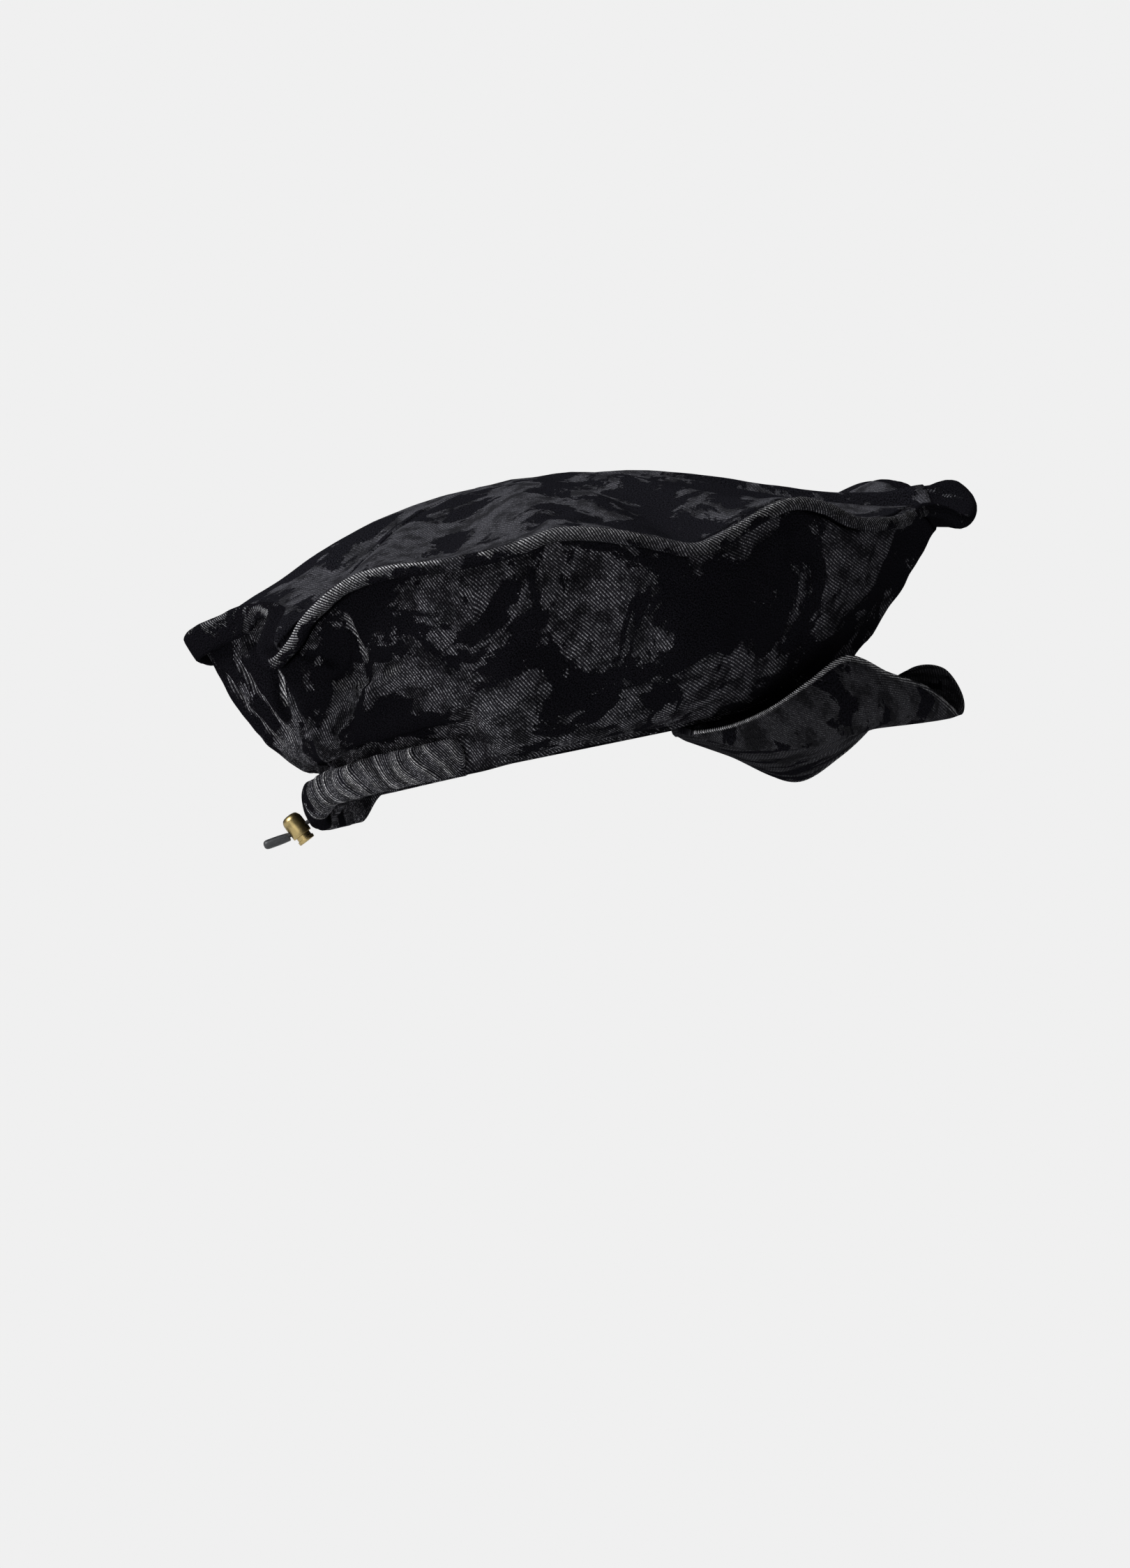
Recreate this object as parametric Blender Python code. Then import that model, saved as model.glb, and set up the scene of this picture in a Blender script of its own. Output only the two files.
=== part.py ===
# Soft painter's hat: a domed top panel and a flared side panel that meet in a wavy stitched
# edge, a soft peak, and a gathered drawcord tunnel with a sprung brass cord lock.
#
# Sizes are in millimetres in the hat's own axes: u to the front, v to the far side, w up from
# the plane of the head opening. The hat is worn with that plane tilted, front up, and
# placed() turns a point into the part's frame, in metres. The origin is the middle of the
# head opening.
import math

import bmesh
import bpy
from mathutils import Matrix, Vector

MM = 0.001
WORN_TILT = math.radians(11.5)

# Head opening, an ellipse
OPENING_LENGTH = 192.0
OPENING_WIDTH = 172.0

# Cloth
CLOTH_WALL = 2.0
BRIM_WALL = 3.0
CASING_WALL = 1.6
SEAM_GAP = 0.4

# Crown
CROWN_CENTRE = 22.0
DOME_CENTRE = 8.0
DOME_HEIGHT = 121.4
EDGE_WIDTH = 6.8
EDGE_HALF_THICKNESS = 1.9
TOP_INSET = 8.3
SIDE_INSET = 7.3
BORDER_RISE = 2.1
BORDER_DROP = 2.8
BEAK_WIDTH = 11.0
BEAK_ANGLE = -3.0
BEAK_SPREAD = 9.0
HEM_HEIGHT = 0.8
HEM_STRIP = 1.6
# Section of the edge: across the flange from its outer fold, and up, as shares
EDGE_SECTION = ((0.03, 0.5), (0.24, 0.95), (1.0, 1.0), (1.0, -1.0), (0.24, -0.95), (0.03, -0.5))
# Where the folds rise and fade, as shares of the way across a panel
TOP_FOLD_RISE = 0.09
TOP_FOLD_END = 0.75
TOP_FOLD_FADE = 0.35
SIDE_FOLD_RISE = 0.14
SIDE_FOLD_FADE = 0.12

# Drawcord tunnel
CASING_END = 68.0
CASING_STEPS = 54
CASING_FADE = 12.0
CASING_SIDES = 8
CASING_SQUARENESS = 2.4
GATHER_DEPTH = 0.7
GATHER_BASE = 0.65
GATHER_PACES = (1.9, 0.57)
STRAND_RADIUS = 0.85
EYELET_RADIUS = 3.7
EYELET_START = 8.0
EYELET_LENGTH = 6.0

# Cord lock
LOCK_HOLE = Vector((-112.9, 0.0, -9.05))
CORD_WAY = Vector((-0.900, 0.0, -0.435)).normalized()
LOCK_AXIS = Vector((CORD_WAY.z, 0.0, -CORD_WAY.x))
BARREL_RADIUS = 4.5
BORE_RADIUS = 3.6
BORE_DEPTH = 9.1
BARREL_LENGTH = 10.4
PLUNGER_RADIUS = 3.3
PLUNGER_REACH = 7.4
CAP_RADIUS = 3.8
CAP_HEIGHT = 1.6
CAP_ROUND = 0.4
RIM_FLAT = 0.3
RIM_ROUND = 0.5
# The barrel's closed end, as shares of its radius and of its length
BARREL_DOME = ((1.0, 0.62), (0.93, 0.82), (0.72, 0.94), (0.40, 0.99))
TRAVEL = 1.5
RUNNING_GAP = 0.3
HOLE_UP = 3.1
HOLE_TALL = 2.4
HOLE_WIDE = 4.4
LATHE_STEPS = 24

# Cord tip
TIP_WAY = Vector((-0.989, 0.0, -0.144)).normalized()
TIP_START = 6.0
TIP_RADIUS = 2.1
TIP_LENGTH = 10.9
# Its rounded ends: radius as a share, and distance from the near or the far end
TIP_NEAR_END = ((0.88, 0.0), (1.0, 0.4))
TIP_FAR_END = ((1.0, 2.4), (0.90, 1.1), (0.62, 0.3))

# Fineness of the meshes
EDGE_STEPS = 2
BRIM_STEPS = 3
TIP_STEPS = 14
CUTTER_SIDES = 16
WELD = 0.00005

# Sharpest bend that is shaded smooth, in degrees
CLOTH_SMOOTH = 60.0
METAL_SMOOTH = 35.0

# The crown's edge, one row for each bend of its wave: angle round the crown's centre from the
# front (negative on the near side), reach from that centre, height, and the angle on the head
# opening that the side panel runs down to.
EDGE = (
    ("back_tip", -180.0, 167.5, 81.4, -180.0),
    ("tip_near", -173.7, 164.5, 83.0, -176.5),
    ("ridge", -166.5, 153.7, 86.0, -172.5),
    ("ridge_end", -159.8, 144.9, 87.2, -168.5),
    ("notch", -152.9, 142.5, 82.0, -165.0),
    ("fold_in", -148.9, 152.5, 73.0, -162.0),
    ("fold_out", -145.9, 160.6, 66.4, -159.0),
    ("fold_turn", -142.8, 161.6, 61.6, -155.5),
    ("fold_rise", -139.0, 159.5, 65.6, -151.0),
    ("back_slope", -135.0, 158.7, 74.0, -146.0),
    ("back_climb", -130.5, 157.8, 80.3, -140.0),
    ("back_shoulder", -125.5, 156.8, 85.6, -133.5),
    ("back_crest", -118.0, 155.4, 87.5, -125.0),
    ("casing_seam", -108.6, 154.1, 85.3, -112.6),
    ("casing_past", -107.4, 154.0, 85.1, -111.4),
    ("side_dip", -99.0, 153.2, 85.6, -101.5),
    ("side_crest", -90.0, 153.0, 88.2, -91.5),
    ("side_fall", -82.0, 153.2, 83.6, -83.0),
    ("middle_fall", -75.0, 153.7, 76.8, -75.0),
    ("middle_low", -69.5, 154.4, 71.4, -69.0),
    ("middle_rise", -64.0, 155.0, 73.7, -63.0),
    ("front_climb", -58.0, 156.0, 79.3, -56.5),
    ("front_crest", -51.0, 157.4, 82.8, -49.5),
    ("front_fall", -45.0, 158.7, 78.6, -43.5),
    ("front_slope", -39.5, 159.8, 71.2, -38.0),
    ("front_low", -32.0, 161.3, 68.3, -30.5),
    ("front_flat", -24.0, 162.8, 69.3, -22.5),
    ("beak_root", -17.5, 165.5, 72.0, -16.0),
    ("beak_near", -12.5, 171.0, 70.0, -11.0),
    ("beak_low", -7.8, 177.5, 65.0, -6.5),
    ("beak_tip", -2.5, 181.5, 71.5, -2.0),
    ("beak_top", 2.6, 176.5, 81.8, 2.5),
    ("beak_back", 7.0, 171.0, 78.5, 7.0),
    ("far_dip", 12.0, 167.5, 79.8, 11.5),
    ("far_front", 19.4, 165.5, 87.7, 18.5),
    ("far_crest", 28.7, 166.6, 90.8, 27.0),
    ("far_shoulder", 37.0, 168.0, 88.0, 35.0),
    ("far_fall", 46.0, 167.0, 80.0, 44.0),
    ("far_low", 56.0, 163.0, 74.5, 54.0),
    ("far_rise", 67.0, 159.5, 76.0, 66.0),
    ("far_climb", 78.0, 156.5, 82.5, 78.0),
    ("far_side_crest", 90.0, 154.5, 86.0, 91.0),
    ("far_side_fall", 101.0, 154.0, 81.0, 103.0),
    ("far_casing_past", 107.4, 154.3, 77.5, 111.4),
    ("far_casing_seam", 108.6, 154.4, 77.0, 112.6),
    ("far_back_low", 122.0, 155.5, 75.5, 127.0),
    ("far_back_rise", 134.0, 156.5, 82.0, 138.0),
    ("far_back_crest", 147.0, 157.0, 86.0, 150.0),
    ("far_tip_fall", 159.0, 158.0, 82.0, 161.0),
    ("far_tip", 170.0, 163.5, 79.5, 171.0),
)

# Height of the top panel on its way from the edge (0) to the dome's middle (1), as a share of
# the climb, towards the back, the front and the sides
DOME = (
    # reach, back, front, side
    (0.00, 0.000, 0.000, 0.000),
    (0.09, 0.100, 0.070, 0.080),
    (0.21, 0.270, 0.200, 0.230),
    (0.35, 0.540, 0.375, 0.440),
    (0.52, 0.780, 0.615, 0.680),
    (0.71, 0.930, 0.835, 0.870),
)

# Long folds of the top panel: angle, half width in degrees, height, middle and half length
# of the fold on the way from the edge to the dome's middle
TOP_FOLDS = (
    # name, angle, half_width, height, middle, half_length
    ("notch_valley", -152.0, 6.0, -3.0, 0.36, 0.20),
    ("fold_lift", -143.0, 6.0, 4.0, 0.12, 0.14),
    ("shoulder_ridge", -128.0, 8.0, 4.0, 0.25, 0.25),
    ("shoulder_valley", -112.0, 9.0, -4.0, 0.30, 0.28),
    ("side_ridge", -96.0, 9.0, 3.5, 0.35, 0.30),
    ("middle_ridge", -74.0, 8.0, 4.5, 0.30, 0.30),
    ("front_valley", -40.0, 9.0, -3.5, 0.28, 0.25),
    ("beak_valley", -8.0, 7.0, -3.0, 0.18, 0.20),
    ("far_front_valley", 25.0, 18.0, -13.0, 0.25, 0.26),
    ("far_valley", 58.0, 12.0, -4.0, 0.28, 0.28),
    ("far_ridge", 95.0, 12.0, 4.0, 0.32, 0.30),
    ("far_back_valley", 122.0, 10.0, -4.0, 0.28, 0.25),
)

# Levels of the side panel, as shares of the way from where it starts to flare to the edge
SIDE_LEVELS = (0.0, 0.14, 0.30, 0.48, 0.67, 0.86, 1.0)

# Fullness of the side panel by angle: how far it leaves the opening outwards and upwards, and
# how far it comes in and down from the edge
BELLY = (
    # angle, out_low, up_low, in_top, down_top
    (-180.0, 14.5, 3.0, 4.5, 29.0),
    (-150.0, 13.0, 6.0, 8.0, 30.0),
    (-120.0, 17.0, 7.0, 11.0, 33.0),
    (-90.0, 21.0, 7.0, 9.0, 36.0),
    (-45.0, 27.0, -2.0, 11.0, 42.0),
    (-20.0, 37.0, -5.5, 22.0, 26.0),
    (0.0, 42.0, -7.0, 34.0, 13.0),
    (20.0, 36.0, -4.0, 22.0, 26.0),
    (45.0, 26.0, 2.0, 11.0, 42.0),
    (90.0, 21.0, 7.0, 9.0, 36.0),
    (135.0, 16.0, 5.0, 8.0, 32.0),
)

# Hanging folds of the side panel: angle at the edge and at the opening, half width in degrees,
# depth outwards, and the middle and half length of the fold on the way up
SIDE_FOLDS = (
    # name, top_angle, low_angle, half_width, depth, middle, half_length
    ("notch_crease", -150.5, -164.0, 5.0, -7.0, 0.60, 0.45),
    ("back_pocket", -132.0, -143.0, 7.0, -7.0, 0.62, 0.22),
    ("pocket_lip", -124.0, -142.0, 6.0, 4.0, 0.48, 0.25),
    ("middle_drape", -108.0, -92.0, 7.0, 4.0, 0.60, 0.35),
    ("middle_hollow", -90.0, -80.0, 9.0, -4.0, 0.62, 0.35),
    ("front_drape", -62.0, -72.0, 9.0, 4.0, 0.55, 0.35),
    ("front_hollow", -38.0, -50.0, 9.0, -5.0, 0.66, 0.30),
    ("front_seam", -7.0, -6.0, 6.0, 3.0, 0.60, 0.50),
    ("far_front_hollow", 45.0, 50.0, 11.0, -5.0, 0.62, 0.35),
    ("far_drape", 80.0, 72.0, 11.0, 4.0, 0.55, 0.35),
    ("far_hollow", 114.0, 108.0, 10.0, -5.0, 0.62, 0.35),
    ("far_back_drape", 142.0, 146.0, 9.0, 4.0, 0.50, 0.40),
)

# The peak, one row for each fold: angle on the opening where it is sewn on, then the point in
# the middle of the cloth and the point on its outer edge
BRIM = (
    # name, sewn_angle, mid_u, mid_v, mid_w, edge_u, edge_v, edge_w
    ("near_end", -50.0, 60.5, -71.9, -2.2, 62.6, -74.2, -2.4),
    ("near_flare", -47.0, 70.0, -73.0, -6.0, 76.5, -79.5, -2.6),
    ("near_side", -42.0, 86.0, -74.0, -13.0, 95.0, -85.0, 0.5),
    ("near_rise", -36.5, 100.0, -72.0, -15.5, 113.0, -86.0, 9.0),
    ("near_peak", -30.5, 112.0, -66.0, -16.5, 131.0, -80.5, 16.3),
    ("near_fall", -23.5, 123.0, -56.0, -16.5, 148.0, -68.0, 6.0),
    ("near_front", -15.5, 132.0, -40.0, -15.0, 164.0, -52.0, -3.5),
    ("front_low", -8.0, 138.0, -20.0, -13.0, 177.0, -28.0, -17.0),
    ("front", -1.0, 140.0, -4.0, -9.0, 181.0, -8.0, -10.6),
    ("front_rise", 7.0, 138.0, 14.0, -4.0, 177.0, 14.0, 3.0),
    ("far_front", 16.0, 129.0, 34.0, -4.0, 163.0, 40.0, 5.5),
    ("far_fall", 25.5, 117.0, 51.0, -10.0, 147.0, 61.0, -12.0),
    ("far_side", 34.5, 103.0, 65.0, -16.0, 128.0, 77.0, -25.0),
    ("far_low", 41.5, 88.0, 72.0, -16.0, 108.0, 87.0, -32.5),
    ("far_flare", 46.5, 73.0, 73.0, -9.0, 82.0, 82.5, -16.0),
    ("far_end", 50.0, 61.5, 72.0, -3.5, 65.0, 75.0, -6.0),
)
BRIM_LEVELS = (0.0, 0.14, 0.32, 0.50, 0.68, 0.85, 1.0)
BRIM_SEWN_OUT = 1.2
BRIM_SEWN_HEIGHT = -1.03

# The drawcord tunnel by angle from the middle of the back (negative on the near side)
CASING = (
    # name, angle, bottom, top, depth
    ("near_end", -68.0, -0.5, 15.3, 6.5),
    ("near", -45.0, -0.9, 15.0, 7.0),
    ("near_back", -24.0, -2.0, 13.0, 8.6),
    ("near_turn", -10.0, -7.0, 10.6, 9.8),
    ("back", 0.0, -10.5, 9.2, 10.0),
    ("far_turn", 12.0, -12.2, 8.6, 9.8),
    ("far_low", 23.0, -12.0, 9.5, 8.8),
    ("far_rise", 36.0, -1.5, 14.0, 7.6),
    ("far_end", 68.0, -0.5, 15.3, 6.5),
)

# Near strand of the cord from the tunnel's back, out through the eyelet and the lock; the far
# strand is its mirror image
STRAND_EXIT = (
    # u, v, w
    (-101.4, -10.5, -3.2),
    (-101.6, -6.4, -3.7),
    (-102.5, -3.2, -4.1),
    (-104.4, -1.3, -5.0),
    (-107.4, -1.0, -6.4),
    (-112.9, -1.0, -9.05),
    (-115.7, -1.0, -10.4),
    (-117.8, -1.0, -11.25),
)
STRAND_ANGLES = (-66.0, -58.0, -50.0, -42.0, -34.0, -26.0, -18.0, -11.0)
STRAND_STEPS = 8
STRAND_SPACING = 6.5
TURN_SPACING = 2.2
TURN_HALF_WIDTH = 14.0


def placed(point):
    """Turn a point of the hat, in millimetres, into the part's frame, in metres."""
    u, v, w = point
    x = u * math.cos(WORN_TILT) - w * math.sin(WORN_TILT)
    z = u * math.sin(WORN_TILT) + w * math.cos(WORN_TILT)
    return Vector((x, v, z)) * MM


def material(name, colour, roughness, metallic=0.0):
    made = bpy.data.materials.new(name)
    made.use_nodes = True
    shader = made.node_tree.nodes["Principled BSDF"]
    shader.inputs["Base Color"].default_value = (*colour, 1.0)
    shader.inputs["Roughness"].default_value = roughness
    shader.inputs["Metallic"].default_value = metallic
    return made


def add_object(name, mesh, finish, smooth_angle=CLOTH_SMOOTH):
    mesh.shade_smooth()
    mesh.set_sharp_from_angle(angle=math.radians(smooth_angle))
    mesh.materials.append(finish)
    made = bpy.data.objects.new(name, mesh)
    bpy.context.collection.objects.link(made)
    return made


def mesh_of_rows(name, rows, around=False, pole=None):
    """A mesh of quads through rows of points; around joins each row's ends, pole closes it."""
    shape = bmesh.new()
    grid = [[shape.verts.new(placed(point)) for point in row] for row in rows]
    count = len(grid[0])
    for low, high in zip(grid, grid[1:]):
        for i in range(count if around else count - 1):
            j = (i + 1) % count
            shape.faces.new((low[i], low[j], high[j], high[i]))
    if pole is not None:
        tip = shape.verts.new(placed(pole))
        last = grid[-1]
        for i in range(count):
            shape.faces.new((last[i], last[(i + 1) % count], tip))
    mesh = bpy.data.meshes.new(name)
    shape.to_mesh(mesh)
    shape.free()
    return mesh


def thicken(made, wall, offset=-1.0):
    cloth = made.modifiers.new("cloth_wall", "SOLIDIFY")
    cloth.thickness = wall * MM
    cloth.offset = offset
    cloth.use_even_offset = False


def smooth_rows(rows, steps, closed):
    """Rows of numbers through the given rows, on smooth curves paced by the distance covered."""
    count = len(rows)
    spans = count if closed else count - 1

    def row(i):
        return rows[i % count] if closed else rows[min(max(i, 0), count - 1)]

    def pace(i):
        gap = math.dist(row(i)[:3], row(i + 1)[:3])
        return max(gap, 0.5)

    def slope(i, k):
        before, after = pace(i - 1), pace(i)
        back = (row(i)[k] - row(i - 1)[k]) / before
        ahead = (row(i + 1)[k] - row(i)[k]) / after
        return (back * after + ahead * before) / (before + after)

    made = []
    for i in range(spans):
        length = pace(i)
        for step in range(steps):
            t = step / steps
            value = []
            for k in range(len(rows[0])):
                start, end = row(i)[k], row(i + 1)[k]
                out, into = slope(i, k) * length, slope(i + 1, k) * length
                value.append(
                    start * (1 + 2 * t) * (1 - t) ** 2
                    + out * t * (1 - t) ** 2
                    + end * t * t * (3 - 2 * t)
                    + into * t * t * (t - 1)
                )
            made.append(tuple(value))
    if not closed:
        made.append(tuple(rows[-1]))
    return made


def table_value(table, angle, column, first=0, closed=True):
    """A value of a table at an angle, eased between the two rows on either side."""
    rows = list(table)
    if closed:
        rows = rows + [(*rows[0][:first], rows[0][first] + 360.0, *rows[0][first + 1:])]
    angle = min(max(angle, rows[0][first]), rows[-1][first])
    for low, high in zip(rows, rows[1:]):
        if angle <= high[first]:
            share = (angle - low[first]) / (high[first] - low[first])
            share = share * share * (3 - 2 * share)
            return low[column] + (high[column] - low[column]) * share
    return rows[-1][column]


def opening_radius(angle):
    """Radius of the head opening at an angle in degrees from the front."""
    along = math.cos(math.radians(angle)) / (OPENING_LENGTH / 2)
    across = math.sin(math.radians(angle)) / (OPENING_WIDTH / 2)
    return 1.0 / math.hypot(along, across)


def around_opening(angle, out, height):
    reach = opening_radius(angle) + out
    return Vector((reach * math.cos(math.radians(angle)), reach * math.sin(math.radians(angle)), height))


def angle_gap(a, b):
    return (a - b + 180.0) % 360.0 - 180.0


def edge_frames():
    """Points along the crown's edge, each with its inward and upward direction."""
    rows = []
    for _, angle, reach, height, low_angle in EDGE:
        u = CROWN_CENTRE + reach * math.cos(math.radians(angle))
        v = reach * math.sin(math.radians(angle))
        rows.append((u, v, height, angle, low_angle))
    points = smooth_rows([row[:3] for row in rows], EDGE_STEPS, closed=True)
    count = len(points)
    frames = []
    for i, point in enumerate(points):
        row, step = divmod(i, EDGE_STEPS)
        here, there = rows[row], rows[(row + 1) % len(rows)]
        share = step / EDGE_STEPS
        angle = here[3] + angle_gap(there[3], here[3]) * share
        low_angle = here[4] + angle_gap(there[4], here[4]) * share
        ahead = Vector(points[(i + 1) % count]) - Vector(points[i - 1])
        along = ahead.normalized()
        inward = Vector((-along.y, along.x, 0.0)).normalized()
        upward = along.cross(inward).normalized()
        to_centre = Vector((CROWN_CENTRE - point[0], -point[1], 0.0)).normalized()
        inward = inward.lerp(to_centre, beak(angle)).normalized()
        frames.append((Vector(point), inward, upward, angle, low_angle))
    return frames


def gauss(distance, width):
    return math.exp(-((distance / width) ** 2))


def beak(angle):
    """How far the front corner, where the edge is pressed flat and wide, reaches at an angle."""
    return gauss(angle_gap(angle, BEAK_ANGLE), BEAK_SPREAD)


def crown_top(frames, finish):
    middle = Vector((DOME_CENTRE, 0.0, DOME_HEIGHT))
    rows = []
    for reach, back, front, side in DOME:
        row = []
        for edge, inward, upward, angle, _ in frames:
            border = edge + inward * (TOP_INSET + BEAK_WIDTH * beak(angle)) + upward * BORDER_RISE
            facing = math.cos(math.radians(angle))
            climb = side + (front - side) * max(facing, 0.0) ** 2 + (back - side) * max(-facing, 0.0) ** 2
            point = border.lerp(middle, reach)
            point.z = border.z + (middle.z - border.z) * climb
            for _, fold_angle, half_width, height, centre, half_length in TOP_FOLDS:
                fade = min(reach / TOP_FOLD_RISE, max(TOP_FOLD_END - reach, 0.0) / TOP_FOLD_FADE, 1.0)
                across = gauss(angle_gap(angle, fold_angle), half_width)
                point.z += height * across * gauss(reach - centre, half_length) * fade
            row.append(point)
        rows.append(row)
    mesh = mesh_of_rows("crown_top", rows, around=True, pole=middle)
    thicken(add_object("crown_top", mesh, finish), CLOTH_WALL)


def casing_at(angle):
    """Bottom, top and depth of the tunnel at an angle from the middle of the back."""
    return [table_value(CASING, angle, column, first=1, closed=False) for column in (2, 3, 4)]


def side_low_strip(low_angle):
    """Lower border of the side panel and the line where it starts to flare, above the tunnel."""
    from_back = angle_gap(180.0, low_angle)
    bottom, top, _ = casing_at(from_back)
    share = min(max((CASING_END + CASING_FADE - abs(from_back)) / CASING_FADE, 0.0), 1.0)
    share = share * share * (3 - 2 * share)
    low = HEM_HEIGHT + (bottom + SEAM_GAP - HEM_HEIGHT) * share
    flare = HEM_HEIGHT + HEM_STRIP + (top + SEAM_GAP - HEM_HEIGHT - HEM_STRIP) * share
    return around_opening(low_angle, CLOTH_WALL, low), around_opening(low_angle, CLOTH_WALL, flare)


def side_point(frame, level):
    """A point of the side panel; level 0 is its lower border, and it flares from level 1 on."""
    edge, inward, upward, angle, low_angle = frame
    border, low = side_low_strip(low_angle)
    if level == 0:
        return border
    t = SIDE_LEVELS[level - 1]
    high = edge + inward * (SIDE_INSET + BEAK_WIDTH * beak(angle)) - upward * BORDER_DROP
    out_low, up_low, in_top, down_top = [table_value(BELLY, angle, k) for k in (1, 2, 3, 4)]
    out = Vector((math.cos(math.radians(low_angle)), math.sin(math.radians(low_angle)), 0.0))
    leave = low + out * out_low + Vector((0.0, 0.0, up_low))
    arrive = high + inward * in_top - Vector((0.0, 0.0, down_top))
    point = low * (1 - t) ** 3 + leave * 3 * t * (1 - t) ** 2 + arrive * 3 * t * t * (1 - t) + high * t ** 3
    outward = -inward.lerp(-out, 1 - t).normalized()
    for _, top_angle, low_fold, half_width, depth, centre, half_length in SIDE_FOLDS:
        here = angle + angle_gap(low_angle, angle) * (1 - t)
        fold = top_angle + angle_gap(low_fold, top_angle) * (1 - t)
        fade = min(t / SIDE_FOLD_RISE, (1 - t) / SIDE_FOLD_FADE, 1.0)
        across = gauss(angle_gap(here, fold), half_width)
        point += outward * depth * across * gauss(t - centre, half_length) * fade
    return point


def crown_side(frames, finish):
    rows = [[side_point(frame, level) for frame in frames] for level in range(len(SIDE_LEVELS) + 1)]
    mesh = mesh_of_rows("crown_side", rows, around=True)
    thicken(add_object("crown_side", mesh, finish), CLOTH_WALL)


def crown_edge(frames, finish):
    """The raised edge: a closed ring of a flat rounded section."""
    t = EDGE_HALF_THICKNESS
    rows = []
    for across, upright in EDGE_SECTION:
        row = []
        for edge, inward, upward, angle, _ in frames:
            width = EDGE_WIDTH + BEAK_WIDTH * beak(angle)
            row.append(edge + inward * across * width + upward * upright * t)
        rows.append(row)
    rows.append(rows[0])
    shape = bmesh.new()
    shape.from_mesh(mesh_of_rows("crown_edge", rows, around=True))
    bmesh.ops.remove_doubles(shape, verts=shape.verts, dist=WELD)
    bmesh.ops.recalc_face_normals(shape, faces=shape.faces)
    mesh = bpy.data.meshes.new("crown_edge")
    shape.to_mesh(mesh)
    shape.free()
    add_object("crown_edge", mesh, finish)


def brim(finish):
    rows = []
    for _, sewn, *rest in BRIM:
        start = around_opening(sewn, BRIM_SEWN_OUT, BRIM_SEWN_HEIGHT)
        rows.append((rest[3], rest[4], rest[5], rest[0], rest[1], rest[2], start.x, start.y, start.z))
    columns = smooth_rows(rows, BRIM_STEPS, closed=False)
    levels = []
    for s in BRIM_LEVELS:
        row = []
        for values in columns:
            edge, mid, start = Vector(values[0:3]), Vector(values[3:6]), Vector(values[6:9])
            row.append(start * (1 - s) * (1 - 2 * s) + mid * 4 * s * (1 - s) + edge * s * (2 * s - 1))
        levels.append(row)
    mesh = mesh_of_rows("brim", levels)
    thicken(add_object("brim", mesh, finish), BRIM_WALL, offset=0.0)


def gather(step):
    """Ripple of the gathered cloth: peak and valley in turn, some stronger than others."""
    fast, slow = GATHER_PACES
    strength = GATHER_BASE + (1 - GATHER_BASE) * math.sin(step * fast) * math.cos(step * slow)
    return GATHER_DEPTH * strength * (1 if step % 2 else -1)


def drawcord_casing(finish):
    rows = []
    for side in range(CASING_SIDES + 1):
        turn = 2 * math.pi * (side % CASING_SIDES) / CASING_SIDES
        across = math.copysign(abs(math.cos(turn)) ** (2 / CASING_SQUARENESS), math.cos(turn))
        upright = math.copysign(abs(math.sin(turn)) ** (2 / CASING_SQUARENESS), math.sin(turn))
        row = []
        for step in range(CASING_STEPS + 1):
            angle = -CASING_END + 2 * CASING_END * step / CASING_STEPS
            bottom, top, depth = casing_at(angle)
            out = CLOTH_WALL + SEAM_GAP + depth / 2 * (1 + across)
            on_outer_wall = across > 0.1
            if on_outer_wall:
                out += gather(step)
            height = (top + bottom) / 2 + (top - bottom) / 2 * upright
            row.append(around_opening(180.0 - angle, out, height))
        rows.append(row)
    shape = bmesh.new()
    shape.from_mesh(mesh_of_rows("drawcord_casing", rows))
    bmesh.ops.remove_doubles(shape, verts=shape.verts, dist=WELD)
    bmesh.ops.reverse_faces(shape, faces=shape.faces)
    mesh = bpy.data.meshes.new("drawcord_casing")
    shape.to_mesh(mesh)
    shape.free()
    casing = add_object("drawcord_casing", mesh, finish)
    thicken(casing, CASING_WALL)
    start = LOCK_HOLE - CORD_WAY * EYELET_START
    cut(casing, cylinder_cutter("eyelet_cutter", start, CORD_WAY, EYELET_RADIUS, EYELET_LENGTH))


def axis_matrix(origin, axis):
    """Place a shape made along +Z, in millimetres, with its base at a point of the hat."""
    start = placed(origin)
    along = (placed(origin + axis) - start).normalized()
    side = Vector((0.0, 1.0, 0.0))
    third = side.cross(along)
    turn = Matrix((third, side, along)).transposed().to_4x4()
    return Matrix.Translation(start) @ turn @ Matrix.Scale(MM, 4)


def cylinder_cutter(name, origin, axis, radius, length):
    shape = bmesh.new()
    bmesh.ops.create_cone(
        shape, cap_ends=True, segments=CUTTER_SIDES, radius1=radius, radius2=radius, depth=length,
        matrix=Matrix.Translation((0.0, 0.0, length / 2)),
    )
    return cutter_object(name, shape, axis_matrix(origin, axis))


def slot_cutter(name, centre, tall, wide):
    """A cutter for the way of the cord through the lock, centred on a point of its axis."""
    length = 4 * BARREL_RADIUS
    shape = bmesh.new()
    bmesh.ops.create_cube(shape, size=1.0)
    bmesh.ops.scale(shape, vec=(tall, wide, length), verts=shape.verts)
    return cutter_object(name, shape, axis_matrix(centre, CORD_WAY))


def cutter_object(name, shape, matrix):
    bmesh.ops.transform(shape, matrix=matrix, verts=shape.verts)
    mesh = bpy.data.meshes.new(name)
    shape.to_mesh(mesh)
    shape.free()
    made = bpy.data.objects.new(name, mesh)
    made.hide_render = True
    made.display_type = "WIRE"
    bpy.context.collection.objects.link(made)
    return made


def cut(made, cutter):
    trim = made.modifiers.new("cut", "BOOLEAN")
    trim.operation = "DIFFERENCE"
    trim.object = cutter


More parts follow.
